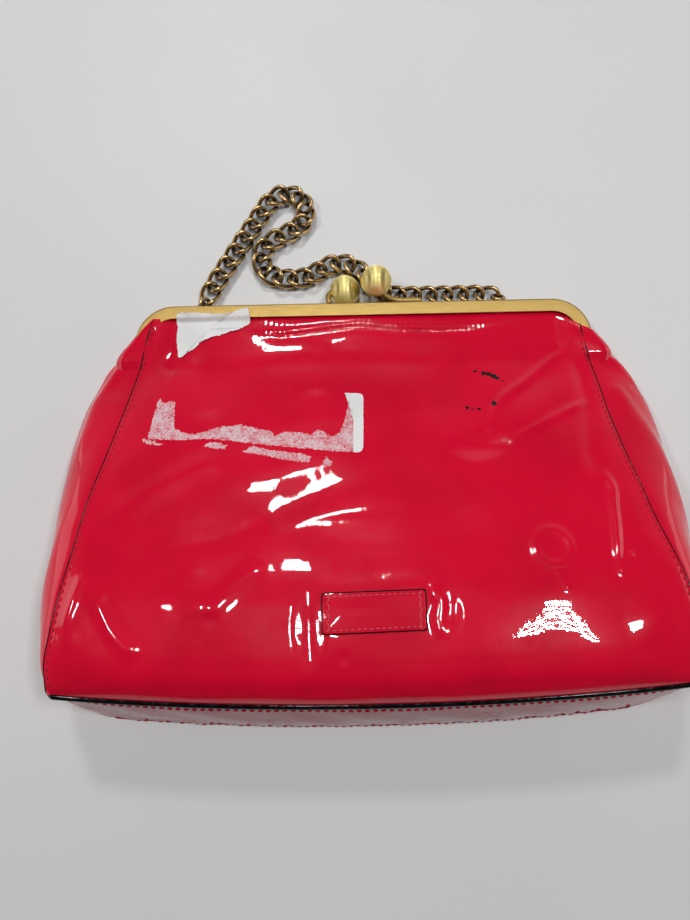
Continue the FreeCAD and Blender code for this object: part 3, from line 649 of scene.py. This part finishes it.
def waviness(x, y):
    """Slow uneven swell of the film."""
    return (0.34 * np.sin(x / 19 + 0.7) * np.sin(y / 23 + 1.1)
            + 0.22 * np.sin(x / 9.5 + y / 14 + 2.0)
            + 0.16 * np.sin(x / 12 - y / 8.5 + 0.4))


def panel_height(x, y, relief=1.0):
    """Height of the front panel's outer face over the table; folds are calm near its edges."""
    seam = np.where(x < 0, half_width(y, left_seam), half_width(y, right_seam))
    share = np.clip(np.abs(x) / seam, 0, 1)
    reference = y - (low_edge(x) - LOW_EDGE) * np.clip((TOP_EDGE - y) / (TOP_EDGE - LOW_EDGE), 0, 1)
    edge = seam_rise(reference)
    crown = 1 - 0.65 * share ** 4 - 0.35 * share ** 14
    height = edge + (middle_rise(reference) - edge) * crown
    calm = ramp((1 - share) * seam, 0, 9) * ramp(y - low_edge(x), 0, 7) * ramp(y, 109, 104)
    swell = waviness(x, y) * np.maximum(ramp(y, 100, 70), 0.25)
    for fold in FOLDS:
        swell = swell + fold_height(x, y, *fold)
    for mound in MOUNDS:
        swell = swell + mound_height(x, y, *mound)
    for centre_x, centre_y, radius, width, rise in RINGS:
        away = np.hypot(x - centre_x, y - centre_y) - radius
        swell = swell + rise * np.exp(-(away / width) ** 2)
    return height + swell * calm * relief


def panel_grid(rows, columns, inset=0.0, top=TOP_EDGE):
    """Grid of x and y over the panel's outline."""
    share, side = shares(rows, columns)
    level = LOW_EDGE + inset + share * (top - LOW_EDGE - inset)
    left = half_width(level, left_seam) - inset
    right = half_width(level, right_seam) - inset
    x = np.where(side < 0, side * left, side * right)
    bow = (low_edge(x) - LOW_EDGE) * (1 - share)
    return x, level + bow


def polygon_depth(x, y, corners):
    """Distance inside a polygon, negative outside."""
    corners = np.array(corners, float)
    nearest = np.full(x.shape, 1e9)
    inside = np.zeros(x.shape, bool)
    for one, two in zip(corners, np.roll(corners, -1, axis=0)):
        edge = two - one
        share = ((x - one[0]) * edge[0] + (y - one[1]) * edge[1]) / max(edge @ edge, 1e-9)
        share = np.clip(share, 0, 1)
        gap = np.hypot(x - one[0] - share * edge[0], y - one[1] - share * edge[1])
        nearest = np.minimum(nearest, gap)
        crosses = (one[1] > y) != (two[1] > y)
        rise = np.where(np.abs(edge[1]) < 1e-9, 1e-9, edge[1])
        inside ^= crosses & (x < one[0] + (y - one[1]) * edge[0] / rise)
    return np.where(inside, nearest, -nearest)


RESIDUE = [
    [(-119.3, 54.9), (-122.0, 29.1), (-119.9, 28.1), (-110.2, 27.5), (-99.9, 27.0), (-91, 27.5),
     (-83.2, 26.9), (-74.1, 25.7), (-61.2, 23.9), (-48.4, 22), (-35.6, 20.3), (-25.5, 19.1),
     (-17.9, 18.1), (-6, 17.5), (-6, 50), (-9.7, 50), (-11.3, 41.9), (-12.7, 36), (-15.4, 29.5),
     (-20.1, 26.7), (-22.9, 29.7), (-28.1, 32), (-31.2, 28.4), (-35.8, 30), (-43.5, 30.9),
     (-48.7, 30.3), (-51.2, 27.9), (-53.9, 31.9), (-59.1, 32.7), (-64.4, 34.6), (-71, 35.8),
     (-77.5, 35.3), (-83.9, 34.6), (-88.9, 32.2), (-95.2, 30.6), (-101.7, 31.5), (-107.2, 33.8),
     (-108.2, 39.8), (-109, 47.3), (-109.6, 51.9), (-112.5, 52.3), (-115.4, 50.5)],
    [(-125.3, 29.6), (-125, 27), (-122.1, 25.3), (-112.6, 23.9), (-112.7, 25), (-119.1, 26.9),
     (-123.2, 28.1), (-123.9, 29.6)],
    [(-90.8, 22.9), (-86.9, 25.4), (-81.1, 25), (-77.1, 22.8), (-78.1, 20.8), (-85.3, 21.8)],
    [(-68.8, 18.8), (-63.7, 22.5), (-53.4, 19.9), (-43.2, 18.3), (-35.6, 17.4), (-30.7, 14.9),
     (-32.7, 11.9), (-43.1, 13.2), (-58.3, 17.1)],
    [(-25.6, 10.1), (-22.9, 15.2), (-21.4, 13.3), (-19.7, 13.2), (-20.2, 9.2)],
]

# Scuffs: (x, y, radius).
SCUFFS = [
    (64.5, 67.8, 1.3), (69.5, 66.4, 1.9), (72.5, 65.8, 2.2), (75.2, 64.2, 2.4), (77, 62.8, 1.8),
    (79.6, 60.8, 0.9), (57.2, 43.8, 1.7), (59.8, 42.6, 1.1), (63.6, 42.8, 1.5), (72.5, 45.8, 1.9),
    (72.3, 47.6, 0.9),
]


def set_masks(piece, x, y):
    """Stores where the film carries residue and scuffs."""
    residue = np.full(x.shape, -50.0)
    for corners in RESIDUE:
        residue = np.maximum(residue, polygon_depth(x, y, corners))
    scuff = np.zeros(x.shape)
    for centre_x, centre_y, radius in SCUFFS:
        away = np.hypot((x - centre_x) * 0.75, y - centre_y)
        scuff = np.maximum(scuff, 0.85 * np.exp(-(away / radius) ** 2))
    for label, values in (("residue", residue), ("scuff", scuff)):
        layer = piece.data.attributes.new(label, "FLOAT", "POINT")
        total = np.full(len(piece.data.vertices), values.min())
        total[:values.size] = values.ravel()
        layer.data.foreach_set("value", total.astype(np.float32))


def bend_with_front(piece):
    """Bakes the piece's placement into its mesh."""
    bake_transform(piece)


def settle(piece, slot, *hidden, body="bag"):
    """Gives a piece its body (for the body named bend it only bakes its placement) and hides the CAD
    nodes that it stands for; slot is not used.
    """
    if body == "bend":
        bend_with_front(piece)
    else:
        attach(piece, body)
    if hidden:
        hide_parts(*hidden)


def front_panel():
    x, y = panel_grid(216, 316)
    grid = np.stack([x, y, panel_height(x, y)], 2)
    piece = shell("front_panel_leather", grid, LEATHER, [panel_leather, edge_paint], rim=1)
    set_masks(piece, x, y)
    settle(piece, "patent_leather", "front_panel_lower", "front_panel_upper", body="bend")
    x, y = panel_grid(90, 130, inset=4.0, top=104)
    depth = 2.2 + 2.2 * np.exp(-((y - 81) / 13) ** 2)
    grid = np.stack([x, y, panel_height(x, y, 0.6) - depth], 2)
    lining = shell("front_lining_fabric", grid, LINING, [cloth])
    bend_with_front(lining)
    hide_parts("front_lining_lower", "front_lining_upper")


front_panel()


# Side gussets: puffed shells between the front seam and the rear edge.
# Stations run from the hinge to the base: seam y, rear y, rear half width, bulge.
GUSSET_STATIONS = [
    (88.0, 88.0, 137.9, 146.0), (82.0, 82.0, 138.0, 151.0), (75.0, 75.0, 138.2, 155.6),
    (62.0, 61.0, 143.6, 162.0), (50.5, 50.0, 148.0, 167.2), (25.5, 22.0, 150.4, 171.8),
    (-6.5, -12.0, 147.4, 173.6), (-23.5, -38.0, 145.0, 174.0), (-52.5, -70.0, 146.0, 173.4),
    (-80.0, -98.0, 147.8, 171.0), (-93.0, -113.0, 148.8, 167.0), (-102.6, -126.3, 149.4, 155.4),
]

# Creases of the gussets: (points as run and height shares, height, widths), left then right.
GUSSET_FOLDS = {
    -1: [([(0.12, 0.2), (0.3, 0.25), (0.5, 0.2)], 1.6, 0.05, 0.09),
         ([(0.3, 0.55), (0.5, 0.5), (0.7, 0.35)], -1.6, 0.07, 0.07),
         ([(0.55, 0.1), (0.7, 0.22), (0.85, 0.45)], 1.3, 0.05, 0.06)],
    1: [([(0.1, 0.1), (0.2, 0.3), (0.3, 0.45)], 1.8, 0.05, 0.07),
        ([(0.28, 0.08), (0.4, 0.15), (0.52, 0.3), (0.7, 0.42)], 2.0, 0.04, 0.08),
        ([(0.45, 0.6), (0.6, 0.55), (0.8, 0.6)], -1.8, 0.08, 0.08)],
}


def gusset_grid(mirror, rows, columns, depth=0.0, last=0.0):
    """Grid of one gusset; depth moves it inwards."""
    run = np.linspace(0, len(GUSSET_STATIONS) - 1 - last, rows)
    seam_y, rear_y, rear_x, bulge = smooth_columns(GUSSET_STATIONS, run)
    seam_x = half_width(seam_y, SEAMS[mirror]) - 0.4 - depth
    seam_z = panel_edge(seam_y, mirror) - EDGE_SINK - depth
    foot = 0.35 + depth
    rear_x = rear_x - depth
    reach = (8 * (bulge - depth) - seam_x - rear_x) / 6
    share = np.linspace(0, 1, columns)[None, :]
    rest = 1 - share
    weights = (rest ** 3, 3 * rest ** 2 * share, 3 * rest * share ** 2, share ** 3)
    x = weights[0] * seam_x + (weights[1] + weights[2]) * reach + weights[3] * rear_x
    z = weights[0] * seam_z + weights[1] * (seam_z * 0.96) + (weights[2] + weights[3]) * foot
    lean = (z - foot) / (seam_z - foot)
    y = rear_y + (seam_y - rear_y) * lean
    grid = np.stack([x * mirror, y + 0 * x, z], 2)
    along = np.linspace(0, 1, rows)[:, None] + 0 * x
    swell = 0.5 * np.sin(along * 19 + share * 5 + mirror) * np.sin(share * 7 + 1)
    for fold in GUSSET_FOLDS[mirror]:
        swell = swell + fold_height(along, share + 0 * x, *fold)
    calm = np.sin(share * math.pi) ** 0.7 * np.clip(along * 6, 0, 1) * np.clip((1 - along) * 8, 0, 1)
    outward = -grid_normals(grid) * mirror
    grid = grid + outward * (swell * calm)[:, :, None]
    grid[:, :, 2] = np.maximum(grid[:, :, 2], foot)
    return grid


def panel_edge(y, mirror):
    """Height of the panel's outer face along its side edge."""
    x = mirror * half_width(y, SEAMS[mirror])
    return panel_height(x, bowed(x, y))


def seam_line(mirror, count, top, inset=0.0, low=LOW_EDGE, lift=0.0):
    """Points along a side seam on the panel's outer face, or on the corner flap over it."""
    level = np.linspace(top, low, count)
    x = mirror * (SEAMS[mirror](level) - inset)
    y = bowed(x, level)
    height = np.maximum(panel_height(x, y), flap_height(x, y))
    return np.stack([x, y, height + lift], 1)


FLAP_LEVEL = 17.75


def flap_height(x, y):
    """Height of the corner flap: it leaves the panel and rises onto the frame's front face."""
    panel = panel_height(x, y) - 0.3
    share = smooth_step(ramp(np.abs(x), 113, 126))
    return panel + np.maximum(FLAP_LEVEL - panel, 0) * share


SIDES = {"left": -1, "right": 1}
SEAM_TOP = {"left": 105.6, "right": 98.0}


for side, mirror in SIDES.items():
    grid = gusset_grid(mirror, 200, 64)[:, ::-mirror]
    settle(shell(side + "_gusset_leather", grid, LEATHER, [side_leather]),
           "patent_leather", side + "_gusset", body="bend")
    grid = gusset_grid(mirror, 90, 30, depth=2.4, last=0.1)[:, ::-mirror]
    settle(shell(side + "_gusset_fabric", grid, LINING, [cloth]),
           "lining_cloth", side + "_gusset_lining", body="bend")
    line = seam_line(mirror, 300, SEAM_TOP[side], lift=-0.2)
    settle(bead(side + "_seam_edge", line, 0.42, edge_paint), "black_edge", body="bend")
    line = seam_line(mirror, 400, SEAM_TOP[side] - 3, 1.8, -103, 0.12)
    settle(stitches(side + "_seam_stitches", line, 3.7, red_thread, 0.42),
           "patent_leather", body="bend")


# Corner flaps: side leather that puffs over the lower ends of the front frame half.
# Rows from the gusset up to the frame's corner: y inside, outer x, y outside, outer z.
CORNER_FLAP = [
    (66, 148.0, 66, 4.0), (72, 149.5, 72, 5.0), (77, 151.0, 77, 6.0), (82, 150.6, 82, 8.0),
    (87, 147.4, 87, 9.0), (92, 143.0, 91.5, 10.5),
]
CORNER_FLAP_TOP = {
    -1: [(97, 137.6, 95.9, 15.6), (102, 131.8, 101.2, 17.35), (106.3, 126.9, 106.2, 17.4)],
    1: [(96.5, 138.2, 94.6, 15.2), (100.5, 131.2, 97.0, 17.3), (104.8, 122.4, 101.8, 17.4)],
}
FLAP_INSIDE = 112.0
FLAP_SINK = 2.6
FLAP_SHOULDER = 0.74
FLAP_LEATHER = 0.7


def corner_flap_grid(mirror, rows, columns):
    table = CORNER_FLAP + CORNER_FLAP_TOP[mirror]
    run = np.linspace(0, len(table) - 1, rows)
    inner_y, outer_x, outer_y, rim = smooth_columns(table, run)
    share = np.linspace(0, 1, columns)[None, :]
    x = mirror * (FLAP_INSIDE + (outer_x - FLAP_INSIDE) * share)
    y = inner_y + (outer_y - inner_y) * share
    z = flap_height(x, y)
    outside = ramp(np.abs(x) - SEAMS[mirror](y), -1.5, 1.5)
    z = z - FLAP_SINK * outside * ramp(y, 80, 71)
    turn = ramp(share, FLAP_SHOULDER, 1)
    z = rim + (z - rim) * np.sqrt(np.maximum(1 - turn ** 2.4, 0))
    crease = 0.22 * np.sin(y / 2.9 + share * 5) * np.sin(np.clip(share * 1.6 - 0.5, 0, 1) * math.pi)
    return np.stack([x, y, z + crease], 2)


for side, mirror in SIDES.items():
    grid = corner_flap_grid(mirror, 90, 70)[:, ::mirror]
    settle(shell(side + "_corner_flap", grid, FLAP_LEATHER, [side_leather]),
           "patent_leather", body="bend")


# Base, rear panel and their edges.
rear_side = smooth_line([
    (-127, 149.2), (-120, 149.0), (-70, 145.6), (-38, 144.6), (-12, 147), (22, 150), (50, 148.0),
    (70, 139.5), (77, 130.5), (83, 130.0), (88, 133.0), (91, 133.0)])


def base_edge(x, share):
    """The base's outer face from the rear edge (share 0) up to the front edge (share 1)."""
    spread = (np.abs(x) / BASE_REACH) ** 2
    low = -133.05 + 8.0 * spread
    high = -110.1 + 7.2 * spread
    return low + (high - low) * share


BASE_HALF = 150.6
BASE_WIDENING = 10.6
BASE_FOOT = 2.2
BASE_LEATHER = 1.4


def base_grid(rows, columns, start=0.0, low=0.0, high=1.0, inset=0.0):
    share, side = shares(rows, columns, low, high)
    x = side * (BASE_HALF + BASE_WIDENING * share - inset)
    belly = -2.4 * np.sin(share ** 0.7 * math.pi) * (1 - side ** 6)
    pucker = np.exp(-((share - 0.16) / 0.13) ** 2) * (0.45 + 0.55 * np.abs(side))
    belly = belly + 0.55 * pucker * np.sin(x / 2.3 + 2.0 * np.sin(x / 9.0) + share * 11)
    ripple = 0.35 * np.sin(x / 17 + 1) * np.sin(share * 6) + 0.2 * np.sin(x / 6.3 + share * 9)
    y = base_edge(x, share) + start + belly + ripple * np.sin(share * math.pi)
    z = BASE_FOOT + (edge_level(x) - EDGE_SINK - BASE_FOOT) * share
    return np.stack([x, y, z], 2)


def edge_level(x):
    """Height of the panel's outer face at its lower edge."""
    return panel_height(x, low_edge(x) + 0 * x)


# Height of the rear panel's inner face: it rises into the frame's channel.
rear_rise = smooth_line([
    (-140, 1.8), (53, 1.8), (60, 1.95), (67, 2.5), (74, 3.55), (81, 4.55), (88, 4.98), (96, 5.0),
    (114, 5.0)])
REAR_LOW = -129.0
REAR_LEATHER = 1.1


def rear_grid(rows, columns, inset=0.0, top=TOP_EDGE, rise=0.0):
    share, side = shares(rows, columns)
    level = REAR_LOW + inset + share * (top - REAR_LOW - inset)
    x = side * (rear_half_width(level) - inset)
    y = level + (base_edge(x, 0.0) - REAR_LOW) * (1 - share)
    swell = 0.06 * np.sin(x / 21 + 0.5) * np.sin(y / 18) * ramp(y, 60, 40)
    return np.stack([x, y, rear_rise(y) + rise + swell], 2)


def rear_half_width(y):
    """Half width of the rear panel at y."""
    return np.where(y > CORNER[1], channel_half_width(y), rear_side(y))


def back_and_base():
    grid = rear_grid(130, 160)
    settle(shell("rear_panel_leather", grid, REAR_LEATHER, [side_leather, edge_paint], rim=1),
           "patent_leather", "rear_panel")
    grid = rear_grid(70, 90, inset=6.0, top=101, rise=0.9)
    settle(shell("rear_lining_fabric", grid, LINING, [cloth]), "lining_cloth", "rear_lining")
    settle(shell("base_panel_leather", base_grid(90, 420), BASE_LEATHER, [shaded_base_leather]),
           "patent_leather", "base_panel")
    grid = base_grid(40, 120, start=4.6, low=0.05, high=0.95, inset=9)
    settle(shell("base_lining_fabric", grid, LINING, [cloth]), "lining_cloth", "base_lining")
    x = np.linspace(-160.3, 160.3, 300)
    front = np.stack([x, low_edge(x) - 0.5, edge_level(x) - EDGE_SINK], 1)
    settle(bead("front_edge_bead", front, 1.8, edge_paint), "black_edge", "front_base_welt")
    x = np.linspace(-148.4, 148.4, 300)
    back = np.stack([x, base_edge(x, 0.0) + 0.2, np.full_like(x, 1.3)], 1)
    # The rear edge bead wears the base leather, whose red is painted darker as painted shade.
    settle(bead("rear_edge_bead", back, 1.0, shaded_base_leather), "patent_leather", "rear_base_welt")
    grid = base_grid(60, 400)
    for label, row in (("base_upper_stitches", 48), ("base_lower_stitches", 4)):
        normals = grid_normals(grid)[row, 6:-6]
        normals = normals * -np.sign(normals[:, 1:2])
        line = grid[row, 6:-6] + normals * 0.25
        settle(stitches(label, line, 4.1, red_thread, 0.5, normals=normals), "patent_leather")


back_and_base()


# Patch, paper scrap and sticker strip.
def rounded_outline(corners, radius, steps):
    """Corner points of a four sided outline with rounded corners."""
    corners = np.array(corners, float)
    outline = []
    for before, corner, after in zip(np.roll(corners, 1, axis=0), corners,
                                     np.roll(corners, -1, axis=0)):
        one = corner + (before - corner) / np.linalg.norm(before - corner) * radius
        two = corner + (after - corner) / np.linalg.norm(after - corner) * radius
        for share in np.linspace(0, 1, steps):
            outline.append(one * (1 - share) ** 2 + corner * 2 * share * (1 - share)
                           + two * share ** 2)
    return np.array(outline)


def subdivided(corners, step):
    """Points along a closed outline, about one step apart."""
    points = []
    for one, two in zip(corners, np.roll(corners, -1, axis=0)):
        count = max(int(np.linalg.norm(two - one) / step), 1)
        points += [one + (two - one) * number / count for number in range(count)]
    return points


def on_panel(spots, lift):
    """Points at a lift above the panel's outer face."""
    x, y = spots.T
    return np.stack([x, y, panel_height(x, y) + lift], 1)


def stacked_rings(name, rows, slots, materials):
    """A closed top from rings of points, from the rim to the middle; slots is one per step."""
    builder = Builder()
    grid = np.array(rows)
    for row, slot in enumerate(slots):
        builder.add_grid(grid[row:row + 2], slot=slot, closed=True)
    builder.add(grid[-1], [tuple(range(grid.shape[1]))])
    return builder.make(name, materials)


PATCH = [(-25.6, -76.2), (25.2, -75.0), (25.4, -55.4), (-25.6, -56.4)]


def leather_patch():
    outline = np.array(subdivided(rounded_outline(PATCH, 1.6, 6), 1.0))
    centre = outline.mean(0)
    half = np.abs(outline - centre).max(0)
    # Rings from the foot of the edge over its rounded rim and the stitched groove to the middle.
    profile = [(-0.1, -0.6), (-0.1, 0.75), (0.15, 1.05), (0.6, 1.25), (1.0, 1.3), (1.4, 1.22),
               (2.2, 1.1), (3.2, 1.2)]
    profile += [(3.2 + number * 0.9, 1.2 + 0.05 * number) for number in range(1, 7)]
    rows = [on_panel(centre + (outline - centre) * (1 - inset / half), lift)
            for inset, lift in profile]
    slots = [1, 1, 1] + [0] * (len(rows) - 4)
    settle(stacked_rings("leather_patch", rows, slots, [patch_leather, edge_paint]),
           "patch_leather", "name_patch")
    left_low, right_low, right_high, left_high = np.array(PATCH)
    for label, one, two, inward in (("patch_stitches_low", left_low, right_low, 2.0),
                                    ("patch_stitches_high", left_high, right_high, -2.0)):
        line = on_panel(np.linspace(one, two, 90)[3:-3] + (0, inward), 1.32)
        settle(stitches(label, line, 2.9, pink_thread, 0.34, length=0.66), "patch_leather")
    for label, column, bend in (("patch_scallops_left", -22.6, 1), ("patch_scallops_right", 22.6, -1)):
        builder = Builder()
        for number in range(4):
            middle = -72.6 + number * 4.6 + (0.35 if column > 0 else 0)
            turns = np.linspace(-1.25, 1.25, 12)
            x = column + bend * (-1.0 + 1.7 * np.cos(turns))
            y = middle + 2.2 * np.sin(turns)
            line = on_panel(np.stack([x, y], 1), 1.36)
            size = 0.28 * np.sqrt(np.maximum(1 - np.linspace(-1, 1, 12) ** 6, 0.1))
            add_tube(builder, line, size, 6, THREAD_FLAT)
        settle(builder.make(label, [pink_thread]), "patch_leather")


leather_patch()


SCRAP = [
    (-112.9, 109.2), (-105, 109.6), (-96.5, 109.2), (-90, 108.6), (-83.7, 108.2), (-78, 109.8),
    (-69.8, 112.2), (-68.6, 108), (-68.4, 103.4), (-71, 101.6), (-75.7, 98.6), (-80, 97.6),
    (-84, 96.2), (-90, 95.2), (-95, 93.2), (-99, 90.8), (-101.5, 87.4), (-106.2, 85.4),
    (-108.4, 82.2), (-110.2, 80.9), (-111.6, 84), (-112.6, 92), (-112.2, 100),
]
SCRAP_RINGS = 13
SCRAP_TOP = 17.2  # the scrap lies on the frame's front face here
STRIP = [
    (-12.1, 54.8), (-3.4, 54.3), (-1.9, 53.2), (-1.4, 50.8), (-2.6, 20.3), (-3.4, 18.2),
    (-5.2, 17.2), (-8.1, 17.5), (-7.5, 37.4), (-8.8, 43), (-9.9, 47), (-11, 51.1),
]


def ragged(corners, step, depth, seed):
    """Corners with small torn teeth between them."""
    chance = np.random.default_rng(seed)
    points = subdivided(np.array(corners, float), step)
    return np.array([point + chance.normal(0, depth, 2) for point in points])


def paper_pieces():
    outline = ragged(SCRAP, 1.1, 0.22, 3)
    centre = outline.mean(0)
    rows = []
    for number in range(SCRAP_RINGS):
        share = 1 - number / SCRAP_RINGS
        spots = centre + (outline - centre) * share
        over = smooth_step(ramp(spots[:, 1], 104.5, 107))
        height = panel_height(spots[:, 0], spots[:, 1]) * (1 - over) + SCRAP_TOP * over
        curl = 0.9 * share ** 6 * np.abs(np.sin(np.arange(len(spots)) * 0.21))
        height = height + 0.35 + curl
        rows.append(np.concatenate([spots, height[:, None]], 1))
    grid = np.array(rows)
    builder = Builder()
    builder.add_grid(grid, closed=True)
    builder.add(grid[-1], [tuple(range(len(outline)))])
    builder.add_grid(grid - np.array([0, 0, 0.18]), closed=True, flip=True)
    settle(builder.make("paper_scrap", [paper]), "paper_cord", body="bend")
    strip = ragged(STRIP, 1.0, 0.07, 5)
    centre = strip.mean(0)
    rows = [on_panel(centre + (strip - centre) * scale, lift)
            for scale, lift in ((1, -0.05), (1, 0.22), (0.9, 0.26), (0.6, 0.28), (0.3, 0.28))]
    settle(stacked_rings("sticker_strip", rows, [0] * 4, [paper]), "paper_cord")


paper_pieces()


# Paper cords that wedge the leather in the frame's channels.
for node_name, body in (("front_channel_cord", "front_half"), ("rear_channel_cord", "bag")):
    low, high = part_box(node_name)
    level = (low[2] + high[2]) / 2 / MM
    radius = (high[2] - low[2]) / 2 / MM
    half = (high[0] - low[0]) / 2 / MM - radius
    top = high[1] / MM - radius
    bend = half - CORNER[0]
    turns = np.linspace(0, math.pi / 2, 16)
    right = [(CORNER[0] + bend * math.cos(turn), top - bend + bend * math.sin(turn))
             for turn in turns]
    across = [(x, top) for x in np.linspace(CORNER[0], -CORNER[0], 100)[1:-1]]
    path = smooth_path(right + across + [(-x, y) for x, y in right[::-1]], 420)
    size = radius * (0.93 + 0.07 * np.sin(np.arange(len(path)) * 0.9))
    builder = Builder()
    add_tube(builder, np.insert(path, 2, level, axis=1), size, 8)
    settle(builder.make(node_name + "_twist", [paper_cord]), "paper_cord", node_name, body=body)


# Pieces that are shown as they come from CAD: gold unless named here.
CAD_LOOKS = {"handle_chain": brass, "left_chain_lug": brass, "right_chain_lug": brass,
             "base_board": board, "rear_lock_ball": ball_gold, "front_lock_ball": ball_gold}
for name, item in nodes.items():
    if item.type == "MESH":
        for slot in item.material_slots:
            slot.material = CAD_LOOKS.get(name, gold)


# Floor, lamps and sky.
def table_finish():
    """Pale matt table with faint clouds."""
    material, tree, shader, place = new_material("pale_table", Roughness=0.55)
    cloud = span(tree, noise(tree, place, 3, 3), 0.3, 0.7)
    colour = blend_colours(tree, cloud, (0.75, 0.75, 0.75), (0.715, 0.715, 0.72))
    paint(tree, shader, colour, span(tree, cloud, 0, 1, 0.5, 0.62))
    bump(tree, shader, [(noise(tree, place, 700, 2), 0.00003)])
    return material


FLOOR_HALF = 2600
FLOOR_LEVEL = -0.02
floor_line = np.linspace(-FLOOR_HALF, FLOOR_HALF, 40)
floor_x, floor_y = np.meshgrid(floor_line, floor_line)
floor = Builder()
floor.add_grid(np.stack([floor_x, floor_y, np.full_like(floor_x, FLOOR_LEVEL)], 2))
floor.make("table_top", [table_finish()])


def area_lamp(name, place, aim, width, height, power):
    data = bpy.data.lights.new(name, "AREA")
    data.shape = "RECTANGLE"
    data.size = width
    data.size_y = height
    data.energy = power
    lamp = bpy.data.objects.new(name, data)
    scene.collection.objects.link(lamp)
    heading = Vector(aim) - Vector(place)
    lamp.matrix_world = Matrix.Translation(place) @ heading.to_track_quat("-Z", "Y").to_matrix().to_4x4()


# Ceiling fixtures: x, y and width; each holds a row of bright strips.
FIXTURES = [(-1.00, 0.25, 0.16), (-0.10, 0.25, 0.10), (0.66, 0.19, 0.20), (-0.17, 1.36, 0.26)]
STRIPS = 7
STRIP_DEPTH = 0.013
STRIP_PITCH = 0.036
STRIP_HEIGHT = 1.68
STRIP_POWER = 495.0  # watts per square metre
for fixture, (x, y, width) in enumerate(FIXTURES):
    for number in range(STRIPS):
        row = y + (number - (STRIPS - 1) / 2) * STRIP_PITCH
        area_lamp("ceiling_strip_%d_%d" % (fixture, number), (x, row, STRIP_HEIGHT), (x, row, 0),
                  width, STRIP_DEPTH, STRIP_POWER * width * STRIP_DEPTH)
for name, x, y in (("left_side", -2.2, 0.2), ("right_side", 2.2, 0.0)):
    area_lamp(name, (x, y, 0.6), (0, 0, 0.02), 2.4, 0.8, 5.0)


# Sky: pale near the horizon, dim overhead and behind the base; plain pale grey to the camera.
world = bpy.data.worlds.new("studio_sky")
scene.world = world
world.use_nodes = True
tree = world.node_tree
shader = tree.nodes["Background"]
place = node(tree, "TexCoord").outputs["Generated"]
height = node(tree, "SeparateXYZ", {"Vector": place}).outputs["Z"]
shade = span(tree, height, 0.05, 0.6)
colour = blend_colours(tree, shade, (0.45, 0.45, 0.46), (0.055, 0.055, 0.055))
near = node(tree, "SeparateXYZ", {"Vector": place}).outputs["Y"]
colour = blend_colours(tree, span(tree, near, -0.15, -0.75), colour, (0.04, 0.04, 0.04))
seen = node(tree, "LightPath").outputs["Is Camera Ray"]
colour = blend_colours(tree, seen, colour, (0.82, 0.82, 0.82))
tree.links.new(colour, shader.inputs["Color"])
